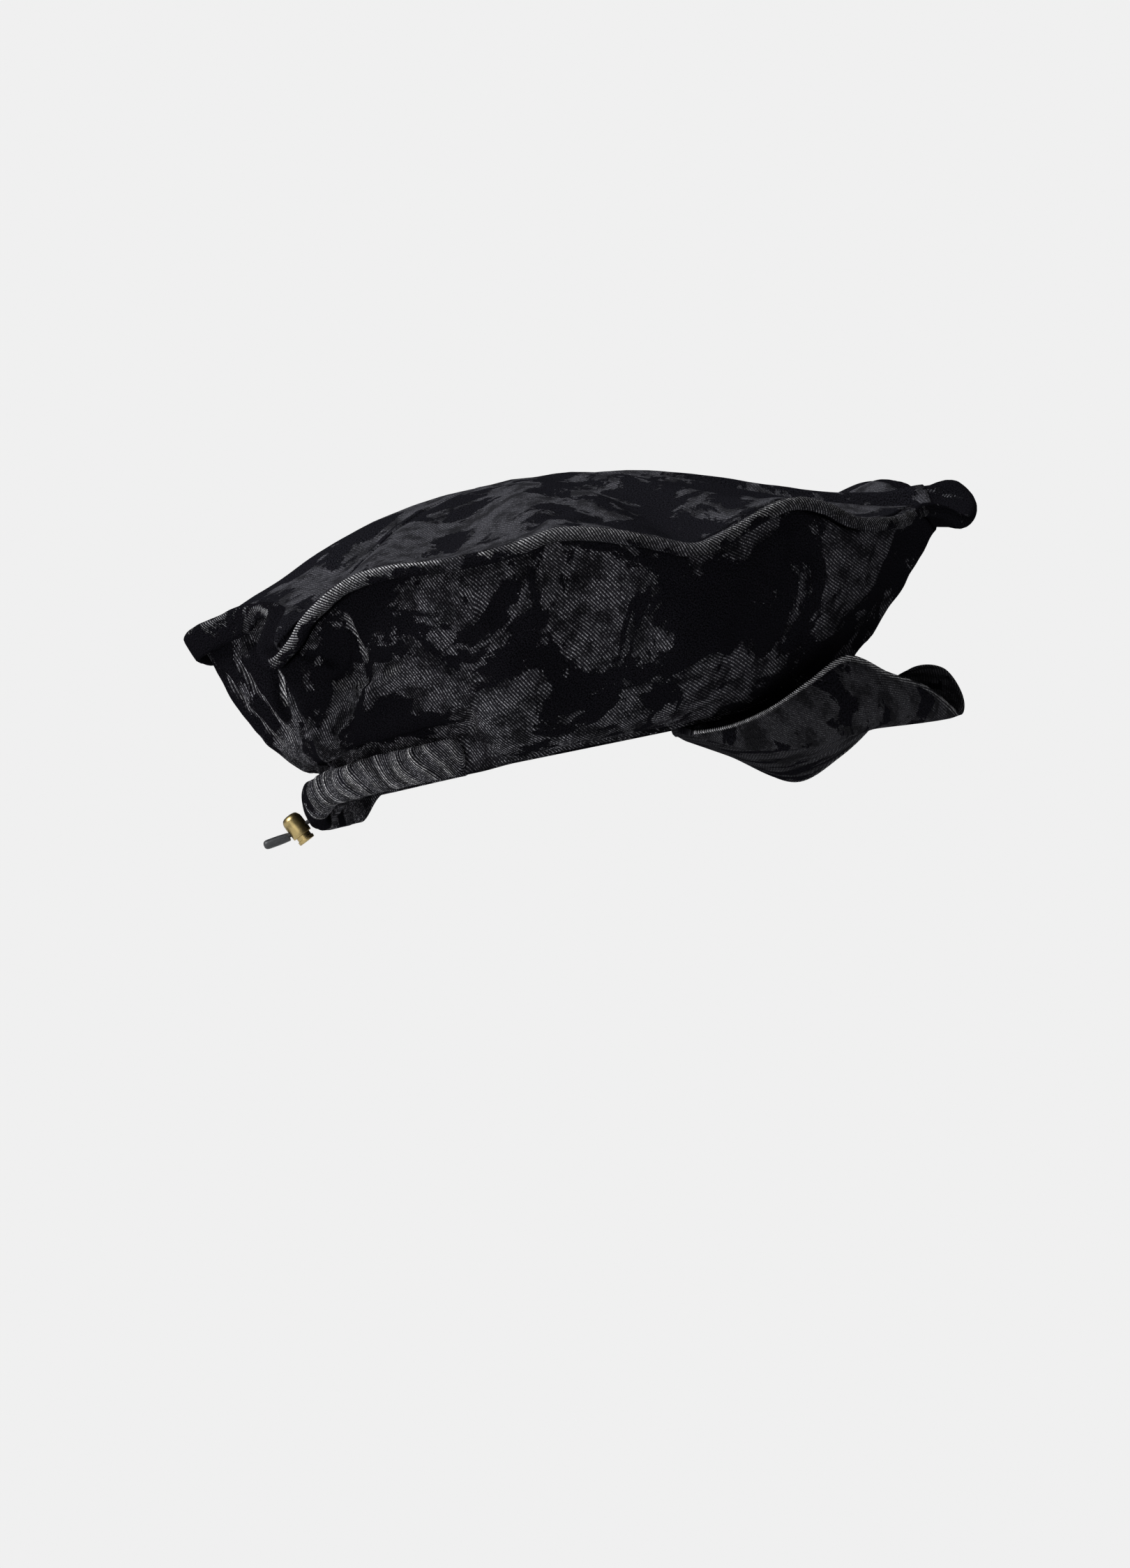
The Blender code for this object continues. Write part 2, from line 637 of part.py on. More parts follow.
def lathe(name, profile, matrix, steps):
    """A turned body: the profile runs from the axis round the outside and back to the axis."""
    shape = bmesh.new()
    rings = []
    for radius, height in profile:
        if radius == 0.0:
            rings.append([shape.verts.new((0.0, 0.0, height))])
            continue
        ring = []
        for step in range(steps):
            turn = 2 * math.pi * step / steps
            ring.append(shape.verts.new((radius * math.cos(turn), radius * math.sin(turn), height)))
        rings.append(ring)
    for low, high in zip(rings, rings[1:]):
        for i in range(steps):
            j = (i + 1) % steps
            corners = [low[i % len(low)], low[j % len(low)], high[j % len(high)], high[i % len(high)]]
            shape.faces.new(list(dict.fromkeys(corners)))
    bmesh.ops.transform(shape, matrix=matrix, verts=shape.verts)
    bmesh.ops.recalc_face_normals(shape, faces=shape.faces)
    mesh = bpy.data.meshes.new(name)
    shape.to_mesh(mesh)
    shape.free()
    return mesh


def lock_matrix():
    """The lock's own frame: +Z runs from the barrel's open end to its domed end."""
    return axis_matrix(LOCK_HOLE - LOCK_AXIS * HOLE_UP, LOCK_AXIS)


def cord_lock(brass):
    barrel_profile = (
        (0.0, BORE_DEPTH),
        (BORE_RADIUS, BORE_DEPTH),
        (BORE_RADIUS, 0.0),
        (BARREL_RADIUS - RIM_FLAT, 0.0),
        (BARREL_RADIUS, RIM_ROUND),
        *[(radius * BARREL_RADIUS, height * BARREL_LENGTH) for radius, height in BARREL_DOME],
        (0.0, BARREL_LENGTH),
    )
    mesh = lathe("cord_lock_barrel", barrel_profile, lock_matrix(), LATHE_STEPS)
    barrel = add_object("cord_lock_barrel", mesh, brass, METAL_SMOOTH)
    cut(barrel, slot_cutter("barrel_hole_cutter", LOCK_HOLE, HOLE_TALL, HOLE_WIDE))

    neck = -(TRAVEL + RUNNING_GAP)
    foot = neck - CAP_HEIGHT
    plunger_profile = (
        (0.0, PLUNGER_REACH),
        (PLUNGER_RADIUS, PLUNGER_REACH),
        (PLUNGER_RADIUS, neck),
        (CAP_RADIUS, neck),
        (CAP_RADIUS, foot + CAP_ROUND),
        (CAP_RADIUS - CAP_ROUND, foot),
        (0.0, foot),
    )
    mesh = lathe("cord_lock_plunger", plunger_profile, lock_matrix(), LATHE_STEPS)
    plunger = add_object("cord_lock_plunger", mesh, brass, METAL_SMOOTH)
    slot_middle = LOCK_HOLE - LOCK_AXIS * (TRAVEL / 2)
    cut(plunger, slot_cutter("plunger_slot_cutter", slot_middle, HOLE_TALL + TRAVEL, HOLE_WIDE))


def cord_tip(rubber):
    start = LOCK_HOLE + CORD_WAY * TIP_START
    profile = (
        (0.0, 0.0),
        *[(radius * TIP_RADIUS, height) for radius, height in TIP_NEAR_END],
        *[(radius * TIP_RADIUS, TIP_LENGTH - height) for radius, height in TIP_FAR_END],
        (0.0, TIP_LENGTH),
    )
    mesh = lathe("cord_tip", profile, axis_matrix(start, TIP_WAY), TIP_STEPS)
    add_object("cord_tip", mesh, rubber)


def tunnel_middle(depth):
    return CLOTH_WALL + SEAM_GAP + depth / 2


def strand(name, mirror, finish):
    """One strand of the cord, from the end of the tunnel, through the lock, to the cord tip."""
    route = []
    for angle in STRAND_ANGLES:
        bottom, top, depth = casing_at(angle)
        route.append(tuple(around_opening(180.0 - angle, tunnel_middle(depth), (bottom + top) / 2)))
    route.extend(STRAND_EXIT)
    if mirror:
        route = [far_side_of_tunnel(point) for point in route]
    fine = smooth_rows(route, STRAND_STEPS, closed=False)
    points = [fine[0]]
    for point in fine[1:]:
        if math.dist(point, points[-1]) >= spacing_at(point):
            points.append(point)
    points[-1] = fine[-1]
    curve = bpy.data.curves.new(name, "CURVE")
    curve.dimensions = "3D"
    curve.bevel_depth = STRAND_RADIUS * MM
    curve.bevel_resolution = 2
    curve.use_fill_caps = True
    spline = curve.splines.new("POLY")
    spline.points.add(len(points) - 1)
    for slot, point in zip(spline.points, points):
        slot.co = (*placed(point), 1.0)
    curve.materials.append(finish)
    made = bpy.data.objects.new(name, curve)
    bpy.context.collection.objects.link(made)


def spacing_at(point):
    """The cord's points stand closer where it turns out of the tunnel."""
    return TURN_SPACING if abs(point[1]) < TURN_HALF_WIDTH else STRAND_SPACING


def far_side_of_tunnel(point):
    """Mirror a strand's point, and set it at the height of the far half of the tunnel."""
    u, v, w = point
    if v > -TURN_HALF_WIDTH:
        return (u, -v, w)
    far_angle = abs(angle_gap(math.degrees(math.atan2(v, u)), 180.0))
    bottom, top, depth = casing_at(far_angle)
    return tuple(around_opening(180.0 - far_angle, tunnel_middle(depth), (bottom + top) / 2))


def main():
    for old in list(bpy.data.objects):
        bpy.data.objects.remove(old)
    velvet = material("flocked_twill_top", (0.020, 0.020, 0.023), 0.85)
    side_cloth = material("flocked_twill_side", (0.014, 0.014, 0.017), 0.85)
    edge_cloth = material("worn_twill_edge", (0.060, 0.060, 0.066), 0.80)
    brim_cloth = material("flocked_twill_brim", (0.017, 0.017, 0.020), 0.85)
    casing_cloth = material("gathered_twill", (0.040, 0.040, 0.046), 0.80)
    cord = material("elastic_cord", (0.010, 0.010, 0.011), 0.70)
    brass = material("antique_brass", (0.300, 0.230, 0.130), 0.35, 1.0)
    rubber = material("dark_rubber", (0.035, 0.035, 0.038), 0.45)

    frames = edge_frames()
    crown_top(frames, velvet)
    crown_side(frames, side_cloth)
    crown_edge(frames, edge_cloth)
    brim(brim_cloth)
    drawcord_casing(casing_cloth)
    strand("drawcord_near", False, cord)
    strand("drawcord_far", True, cord)
    cord_lock(brass)
    cord_tip(rubber)


main()
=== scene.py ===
# How the soft painter's hat looks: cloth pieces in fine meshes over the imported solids, worn
# flocked twill, pressed edges, gathers, antique brass, and a pale studio.
#
# Sizes are in millimetres in the hat's own axes: u to the front, v to the far side, w up from
# the plane of the head opening. placed() turns a point into the frame's axes, in metres.
# Angles are in degrees from the front, negative on the near side. A name that ends in SPAN holds
# the value at which a thing starts and the one at which it is whole.
import math

import bmesh
import bpy
import numpy as np
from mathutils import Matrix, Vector, noise

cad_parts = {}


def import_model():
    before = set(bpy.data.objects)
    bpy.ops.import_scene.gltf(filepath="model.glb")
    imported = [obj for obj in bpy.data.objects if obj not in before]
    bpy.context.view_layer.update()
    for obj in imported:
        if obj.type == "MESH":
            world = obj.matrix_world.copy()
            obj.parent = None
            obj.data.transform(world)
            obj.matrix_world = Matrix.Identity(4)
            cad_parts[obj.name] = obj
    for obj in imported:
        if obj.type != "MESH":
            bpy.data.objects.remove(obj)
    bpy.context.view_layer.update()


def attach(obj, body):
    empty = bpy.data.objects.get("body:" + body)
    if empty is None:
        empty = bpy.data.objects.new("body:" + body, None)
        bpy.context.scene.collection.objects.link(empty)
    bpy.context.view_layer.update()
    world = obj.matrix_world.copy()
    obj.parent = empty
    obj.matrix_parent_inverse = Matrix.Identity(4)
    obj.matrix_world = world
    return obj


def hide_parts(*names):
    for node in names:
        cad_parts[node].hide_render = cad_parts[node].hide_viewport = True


MM = 0.001
NEARLY_ZERO = 1e-9
WORN_TILT = math.radians(11.5)
SIDEWAYS = np.array((0.0, 1.0, 0.0))

# Camera, in metres: the photo's height at 3300 pixels to a metre, distance, middle of the view
VIEW_HEIGHT = 2248 / 3300
VIEW_DISTANCE = 2.4
VIEW_MIDDLE = (0.00697, -0.0118)
VIEW_REACH = 100.0
SENSOR = 36.0

# Head opening, an ellipse
OPENING_LENGTH = 192.0
OPENING_WIDTH = 172.0

# Walls of cloth, and the gap at the tunnel's seam
CLOTH_WALL = 2.0
BRIM_WALL = 3.0
CASING_WALL = 1.6
SEAM_GAP = 0.4

# Crown
CROWN_CENTRE = 22.0
DOME_CENTRE = 8.0
DOME_HEIGHT = 121.4
EDGE_WIDTH = 6.8
TOP_INSET = 8.3
SIDE_INSET = 7.3
BORDER_RISE = 2.1
BORDER_DROP = 2.8
BEAK_WIDTH = 11.0
BEAK_ANGLE = -3.0
BEAK_SPREAD = 9.0
HEM_HEIGHT = 0.8
HEM_STRIP = 1.6
TOP_FOLD_RISE = 0.09
TOP_FOLD_END = 0.75
TOP_FOLD_FADE = 0.35
SIDE_FOLD_RISE = 0.14
SIDE_FOLD_FADE = 0.12

# Drawcord tunnel, in degrees from the middle of the back
CASING_END = 68.0
CASING_FADE = 12.0
CASING_SQUARENESS = 2.4

# The crown's edge, a row for each section of its wave: angle round the crown's centre, reach from
# that centre, height, and the angle on the head opening that the side panel runs down to.
EDGE = (
    # angle, reach, height, low_angle
    # the back tip, and the deep fold at the near back corner
    (-180, 167.5, 81.4, -180), (-173.7, 164.5, 83, -176.5), (-166.5, 153.7, 86, -172.5),
    (-159.8, 144.9, 87.2, -168.5), (-152.9, 142.5, 82, -165), (-148.9, 152.5, 73, -162),
    (-145.9, 160.6, 66.4, -159), (-142.8, 161.6, 61.6, -155.5), (-139, 159.5, 65.6, -151),
    # the near side
    (-135, 158.7, 74, -146), (-130.5, 157.8, 80.3, -140), (-125.5, 156.8, 85.6, -133.5),
    (-118, 155.4, 87.5, -125), (-108.6, 154.1, 85.3, -112.6), (-107.4, 154, 85.1, -111.4),
    (-99, 153.2, 85.6, -101.5), (-90, 153, 88.2, -91.5), (-82, 153.2, 83.6, -83),
    (-75, 153.7, 76.8, -75), (-69.5, 154.4, 71.4, -69), (-64, 155, 73.7, -63),
    (-58, 156, 79.3, -56.5), (-51, 157.4, 82.8, -49.5), (-45, 158.7, 78.6, -43.5),
    (-39.5, 159.8, 71.2, -38), (-32, 161.3, 68.3, -30.5), (-24, 162.8, 69.3, -22.5),
    # the front corner
    (-17.5, 165.5, 72, -16), (-12.5, 171, 70, -11), (-7.8, 177.5, 65, -6.5),
    (-2.5, 181.5, 71.5, -2), (2.6, 176.5, 81.8, 2.5), (7, 171, 78.5, 7),
    # the far side
    (12, 167.5, 79.8, 11.5), (19.4, 165.5, 87.7, 18.5), (28.7, 166.6, 90.8, 27), (37, 168, 88, 35),
    (46, 167, 80, 44), (56, 163, 74.5, 54), (67, 159.5, 76, 66), (78, 156.5, 82.5, 78),
    (90, 154.5, 86, 91), (101, 154, 81, 103), (107.4, 154.3, 77.5, 111.4),
    (108.6, 154.4, 77, 112.6), (122, 155.5, 75.5, 127), (134, 156.5, 82, 138), (147, 157, 86, 150),
    (159, 158, 82, 161), (170, 163.5, 79.5, 171),
)

# Height of the top panel on its way from the edge (0) to the dome's middle (1), as a share of
# the climb, towards the back, the front and the sides
DOME = (
    # reach, back, front, side
    (0.00, 0.000, 0.000, 0.000),
    (0.09, 0.100, 0.070, 0.080),
    (0.21, 0.270, 0.200, 0.230),
    (0.35, 0.540, 0.375, 0.440),
    (0.52, 0.780, 0.615, 0.680),
    (0.71, 0.930, 0.835, 0.870),
)

# Long folds of the top panel: angle, half width in degrees, height, middle and half length
# of the fold on the way from the edge to the dome's middle
TOP_FOLDS = (
    # name, angle, half_width, height, middle, half_length
    ("notch_valley", -152, 6, -3, 0.36, 0.20),
    ("fold_lift", -143, 6, 4, 0.12, 0.14),
    ("shoulder_ridge", -128, 8, 4, 0.25, 0.25),
    ("shoulder_valley", -112, 9, -4, 0.30, 0.28),
    ("side_ridge", -96, 9, 3.5, 0.35, 0.30),
    ("middle_ridge", -74, 8, 4.5, 0.30, 0.30),
    ("front_valley", -40, 9, -3.5, 0.28, 0.25),
    ("beak_valley", -8, 7, -3, 0.18, 0.20),
    ("far_front_valley", 25, 18, -13, 0.25, 0.26),
    ("far_valley", 58, 12, -4, 0.28, 0.28),
    ("far_ridge", 95, 12, 4, 0.32, 0.30),
    ("far_back_valley", 122, 10, -4, 0.28, 0.25),
)

# Fullness of the side panel by angle: how far it leaves the opening outwards and upwards, and
# how far it comes in and down from the edge
BELLY = (
    # angle, out_low, up_low, in_top, down_top
    (-180, 14.5, 3, 4.5, 29),
    (-150, 13, 6, 8, 30),
    (-120, 17, 7, 11, 33),
    (-90, 21, 7, 9, 36),
    (-45, 27, -2, 11, 42),
    (-20, 37, -5.5, 22, 26),
    (0, 42, -7, 34, 13),
    (20, 36, -4, 22, 26),
    (45, 26, 2, 11, 42),
    (90, 21, 7, 9, 36),
    (135, 16, 5, 8, 32),
)

# Hanging folds of the side panel: angle at the edge and at the opening, half width in degrees,
# depth outwards, and the middle and half length of the fold on the way up
SIDE_FOLDS = (
    # name, top_angle, low_angle, half_width, depth, middle, half_length
    ("notch_crease", -150.5, -164, 5, -7, 0.60, 0.45),
    ("back_pocket", -132, -143, 7, -7, 0.62, 0.22),
    ("pocket_lip", -124, -142, 6, 4, 0.48, 0.25),
    ("middle_drape", -108, -92, 7, 4, 0.60, 0.35),
    ("middle_hollow", -90, -80, 9, -4, 0.62, 0.35),
    ("front_drape", -62, -72, 9, 4, 0.55, 0.35),
    ("front_hollow", -38, -50, 9, -5, 0.66, 0.30),
    ("front_seam", -7, -6, 6, 3, 0.60, 0.50),
    ("far_front_hollow", 45, 50, 11, -5, 0.62, 0.35),
    ("far_drape", 80, 72, 11, 4, 0.55, 0.35),
    ("far_hollow", 114, 108, 10, -5, 0.62, 0.35),
    ("far_back_drape", 142, 146, 9, 4, 0.50, 0.40),
)

# The peak, a row for each section from its near end to its far end: angle on the opening where
# it is sewn on, then the point in the middle of the cloth and the point on its outer edge
BRIM = (
    # sewn_angle, mid_u, mid_v, mid_w, edge_u, edge_v, edge_w
    (-50, 60.5, -71.9, -2.2, 62.6, -74.2, -2.4), (-47, 70, -73, -6, 76.5, -79.5, -2.6),
    (-42, 86, -74, -13, 95, -85, 1.3), (-36.5, 100, -72, -15.5, 113, -86, 9),
    (-30.5, 112, -66, -16.5, 131, -80.5, 16.3), (-23.5, 123, -56, -16.5, 148, -68, 6),
    (-15.5, 132, -40, -15, 164, -52, -3.5), (-8, 138, -20, -13, 177, -28, -17),
    (-1, 140, -4, -9, 181, -8, -10.6), (7, 138, 14, -4, 177, 14, 3),
    (16, 129, 34, -4, 163, 40, 5.5), (25.5, 117, 51, -10, 147, 61, -12),
    (34.5, 103, 65, -16, 128, 77, -25), (41.5, 88, 72, -16, 108, 87, -32.5),
    (46.5, 73, 73, -9, 82, 82.5, -16), (50, 61.5, 72, -3.5, 65, 75, -6),
)
BRIM_SEWN_OUT = 1.2
BRIM_SEWN_HEIGHT = -1.03
BRIM_ALLOWANCE = (
    # how far out from the opening, and height, of rows inside the side panel
    (-1.9, 8), (-1.9, 4.5), (-1.9, 1.5), (-1.6, 0), (-0.6, -0.8),
)

# The drawcord tunnel by angle from the middle of the back, from its near end to its far end
CASING = (
    # angle, bottom, top, depth
    (-68, -0.5, 15.3, 6.5), (-45, -0.9, 15, 7), (-24, -2, 13, 8.6), (-10, -7, 10.6, 9.8),
    (0, -10.5, 9.2, 10), (12, -12.2, 8.6, 9.8), (23, -12, 9.5, 8.8), (36, -1.5, 14, 7.6),
    (68, -0.5, 15.3, 6.5),
)

# Near strand of the cord: angles in the tunnel from the middle of the back, then points on its
# way out through the eyelet and the lock. The far strand is its mirror image
STRAND_ANGLES = (-66, -58, -50, -42, -34, -26, -18, -11)
STRAND_EXIT = (
    # u, v, w
    (-101.4, -10.5, -3.2), (-101.6, -6.4, -3.7), (-102.5, -3.2, -4.1), (-104.4, -1.3, -5),
    (-107.4, -1, -6.4), (-112.9, -1, -9.05), (-115.7, -1, -10.4), (-117.8, -1, -11.25),
)

# Fineness of the meshes
EDGE_STEPS = 12
STRIP_ROWS = 4
STRIP_SHARES = (-0.1, -0.02)
SIDE_ROWS = 64
BRIM_STEPS = 16
BRIM_ROWS = 48
CASING_COLUMNS = 700
CASING_SIDES = 36
TOP_REACHES = np.concatenate((np.linspace(0.0, 0.3, 22), np.linspace(0.33, 0.97, 26)))
PATH_STEPS = 14
LEAST_PACE = 0.5
LATHE_STEPS = 96
DOME_STEPS = 6
STRAND_STEPS = 8
BRAID_STEP = 0.22
BRAID_SIDES = 16
WELD = 0.000002
SHARP_ANGLE = math.radians(35.0)

# The side panel's pattern piece: turn of the flat ring, and where it is opened
PATTERN_TURN = 3.0
SEAM_ANGLE = -8.0
MAP_SCALE = 0.01

# Uneven cloth: size of its waves, seed of their noise, and height
TOP_UNEVEN = (26.0, 3.0, 0.5)
TOP_WRINKLES = (1.0, 21.0, 1.0)
SIDE_UNEVEN = (30.0, 11.0, 2.0)
EDGE_UNEVEN = (14.0, 5.0, 0.5)
NOISE_SMOOTHNESS = 0.9
NOISE_FINER = 2.0
NOISE_LAYERS = 3

# Top panel, by the share of the way in; and side panel, by the share of the way up
TOP_UNEVEN_SPAN = (0.0, 0.1)
WRINKLE_START_SPAN = (0.0, 0.05)
WRINKLE_END_SPAN = (0.4, 0.15)
WRINKLES_AROUND = 7.0
WRINKLE_SPEED = 3.0
SIDE_LOW_SPAN = (0.0, 0.15)
SIDE_HIGH_SPAN = (1.0, 0.88)

# The side panel over the tunnel: its fullness, the small folds drawn up and the twill that
# shows there, with spans in degrees from the middle of the back
PUFF_DEPTH = 3.5
PUFF_SHARE = 0.09
PUFF_REACH = 0.06
PUFF_LOW_SPAN = (0.0, 0.02)
PUFF_SPAN = (CASING_END + 2.0, CASING_END - 6.0)
PUCKER_DEPTH = 0.6875
PUCKER_REACH = 0.12
PUCKER_SPAN = (CASING_END + 4.0, CASING_END - 10.0)
PUCKER_WAVES = (
    # how many in a full turn, start, strength
    (41, 0, 1), (67, 1, 0.6),
)
GATHER_BARE = 0.9
GATHER_BARE_REACH = 0.12
GATHER_BARE_SPAN = (CASING_END + 14.0, CASING_END + 6.0)

# Painted shade: the side panel's pale threads are dimmed towards the front, the side that the light from
# the upper left leaves in shade
FRONT_PAINTED_SHADE = 0.6
PAINTED_SHADE_START_SPAN = (-95.0, -25.0)
PAINTED_SHADE_END_SPAN = (60.0, 20.0)

# Tunnel: how it tapers and closes at its ends, and the folds gathered round it
CASING_TAPER = 0.62
CASING_TAPER_LENGTH = 12.0
CASING_ROUND = 3.0
GATHER_PITCH = 2.6
GATHER_DEPTH = 0.9
GATHER_WAVES = (
    # how often, start, strength
    (1, 0, 1), (2.3, 1, 0.4),
)
GATHER_MEAN = 0.65
GATHER_SWING = 0.35
GATHER_BEATS = (1.9, 0.57)
GATHER_OUTER_SPAN = (-0.3, 0.3)
GATHER_SLANT = 2.2
GATHER_LOW_SLANT = 1.5
GATHER_TURN = 12.0
GATHER_DRIFT = 0.5
GATHER_DRIFT_PITCH = 3.7
GATHER_DRIFT_TURN = 1.6
GATHERED_LENGTH = 3.0
GATHER_WEAR = 0.1
# Pale threads on the ridges of the gathers: worn threads and a painted highlight where the ridges stand
# out
WORN_RIDGE_HIGHLIGHT = 0.75
WORN_RIDGE_HIGHLIGHT_SPAN = (-0.12, 1.08)
WORN_RIDGE_HIGHLIGHT_MEAN = 0.8
WORN_RIDGE_HIGHLIGHT_SWING = 0.2
WORN_RIDGE_HIGHLIGHT_BEATS = (0.33, 2.0)
BACK_VELVET = 2.2
BACK_VELVET_WIDTH = 13.0
BACK_WEAR_LOSS = 0.8

# Creases and wear, and how thin the peak's edge is pressed
PATH_FADE = 0.22
WEAR_WIDTH = 1.3
EDGE_VELVET_PLACES = (
    # angle round the edge, half-width, how much velvet shows there
    (180, 26, 1.2), (0, 14, 1), (40, 25, 0.6), (-148, 6, 0.4),
)
WORN_BRIM_SPAN = (1.6, 0.0)
WORN_BRIM = (
    # share of the way round the peak from its near end, and how worn its edge is
    (0, 1.8), (0.1, 1.8), (0.22, 1.8), (0.32, 1.3), (0.38, 0.4), (0.55, 0.15), (0.8, 0.3), (1, 0.3),
)
PEAK_EDGE_THINNING = 0.5
PEAK_EDGE_REACH = 3.0

SIDE_CREASES = (
    # name, places as (angle, share of the way up), half-width, rise, how far it stays raised, how worn
    ("pocket's lower edge", ((-137, 0.80), (-130.4, 0.60), (-117.9, 0.62)), 1.3, 3.4, 14, 0.35),
    ("pocket's crease", ((-128.7, 0.95), (-128.7, 0.81), (-127.9, 0.67)), 1.3, 1.8, 0, 0.6),
    ("pocket's upper edge", ((-148.5, 0.94), (-137, 0.87), (-132.6, 0.73)), 1.3, 3, 10, 0.25),
    ("corner fold", ((-159.5, 0.82), (-161.5, 0.60), (-164.5, 0.25)), 3, 3.5, 0, 0),
    ("corner fold's worn line", ((-160, 0.80), (-160.9, 0.65), (-162.2, 0.53)), 1.4, 0.8, 0, 1.4),
    ("first back fold", ((170, 0.86), (168, 0.65), (176, 0.35)), 3.5, 2.6, 0, 0),
    ("second back fold", ((-178, 0.88), (178, 0.62), (-174, 0.28)), 3.5, 3, 0, 0),
    ("third back fold", ((-175, 0.88), (-173, 0.66), (-170, 0.30)), 3, 2.8, 0, 0.4),
    ("fourth back fold", ((-169.5, 0.87), (-166.5, 0.60), (-165.5, 0.30)), 2.6, 2.2, 0, 0.4),
    ("roll above the tunnel", ((-146, 0.55), (-128, 0.40), (-112.6, 0.36)), 10, 2.6, 0, 0),
    ("fold at the tunnel's end", ((-106, 0.02), (-105.5, 0.15), (-105, 0.32)), 2.6, 3.2, 0, 0.2),
    ("roll under the edge", ((-110, 0.93), (-102, 0.82), (-97, 0.62)), 7, 2.4, 0, 0),
    ("hollow beside it", ((-97, 0.93), (-92, 0.80), (-90, 0.62)), 7, -2, 0, 0),
    ("front hollow", ((-50.5, 0.97), (-52, 0.85), (-53.3, 0.68)), 5, -1.8, 0, 0),
    ("front fold", ((-44, 0.97), (-41, 0.72), (-37, 0.42)), 5, 1.8, 0, 0),
    ("front seam's hollow", ((-34.5, 0.97), (-31, 0.84), (-29, 0.66)), 4, -1.5, 0, 0),
    ("front seam", ((-8, 1), (-8, 0.5), (-8, 0)), 1, 0.9, 7, 0.1),
)
TOP_CREASES = (
    # name, places as (angle, share of the way in), half-width, rise, how far it stays raised, how worn
    ("back wrinkle", ((-142, 0.03), (-150, 0.12), (-150, 0.24)), 3, 1.5, 0, 0),
    ("second back wrinkle", ((-137, 0.03), (-143, 0.12), (-143, 0.26)), 3, 1.5, 0, 0),
    ("third back wrinkle", ((-132, 0.03), (-137, 0.13), (-134, 0.28)), 3.4, 1.6, 0, 0),
    ("near ridge", ((-96, 0.05), (-90, 0.16), (-84, 0.22)), 4, 1.8, 0, 0),
    ("second near ridge", ((-88, 0.05), (-80, 0.14), (-70, 0.20)), 4, 1.6, 0, 0),
)
EDGE_FACE = (
    # across the edge from its fold, and up; then the same at the back tip, where it is pressed flat
    (10, -1, 10, -2), (6.5, -1.5, 7.5, -6.5), (4.4, -2.4, 6.2, -9.6), (3.2, -3.5, 5.4, -10.4),
    (2.2, -4.1, 4.6, -10.7), (1.2, -3.9, 3.6, -9.8), (0.5, -3.2, 2.4, -7), (0.1, -2, 1.2, -3.8),
    (0, -0.8, 0.3, -1.2), (0.1, 0.3, 0.1, 0.1), (0.5, 1.1, 0.5, 1), (1.2, 1.65, 1.2, 1.5),
    (2.4, 1.9, 2.4, 1.8), (4.2, 1.8, 4.2, 1.8), (6, 1.2, 6, 1.4), (7.2, 1.5, 7.2, 1.6),
    (9, 1.7, 9, 1.7), (10, 1.3, 10, 1.3), (10, -1, 10, -2),
)
TIP_FLANGE_SPAN = (156.0, 163.0)
WORN_EDGE = (
    # angle round the edge, how worn its outer face is, how worn its upper fold is
    (-176, 0.1, 0.1), (-168, 0.3, 0.1), (-158, 0.1, 0.1), (-154, 0.5, 0.4), (-149, 0.1, 0.1),
    (-145, 0, 0.05), (-141, 0.3, 0.4), (-138, 0.7, 0.8), (-133, 0.8, 0.8), (-125, 0.7, 0.7),
    (-119, 0.5, 0.9), (-116, 0.15, 0.9), (-111, 0, 0.9), (-108, 0, 0.15), (-104, 0, 0),
    (-101.5, 0.5, 0.3), (-99.5, 0, 0), (-96, 0.55, 0.5), (-89, 0.5, 0.3), (-80, 0.35, 0.2),
    (-74, 0.1, 0), (-68, 0.35, 0.2), (-56, 0.5, 0.3), (-49, 0.3, 0.2), (-41, 0.12, 0.15),
    (-30, 0.16, 0.1), (-18, 0.1, 0.05), (0, 0.05, 0), (30, 0.2, 0.1), (70, 0.4, 0.2),
    (110, 0.2, 0.3), (150, 0.4, 0.3),
)
# Across the edge from its fold, and up: its outer face, the worn band on it and the line above
OUTER_FACE_SPAN = (2.2, 1.0)
WORN_BAND_SPAN = (1.8, 1.0)
WORN_BAND_TOP = 0.6
WORN_BAND_REACH = 2.4
WORN_LINE_HEIGHT = 1.1
WORN_LINE_WIDTH = 0.7
# How much more twill (or velvet, below 0) shows at places of the side and top panels
SIDE_BARE_PLACES = (
    # angle, half-width, share of the way up, half-height, how much
    (172, 16, 0.60, 0.25, -0.4), (-162, 6, 0.45, 0.25, 0.2), (-132, 10, 0.82, 0.13, -1),
    (-70, 18, 0.80, 0.16, -0.5), (-112, 12, 0.35, 0.15, 0.6), (-45, 9, 0.5, 0.3, 0.3),
)
TOP_BARE_PLACES = (
    # angle, half-width, share of the way in, half-reach, how much
    (-150, 26, 0.05, 0.22, -0.6), (-105, 14, 0.12, 0.16, 0.5), (-60, 14, 0.1, 0.2, -0.3),
)

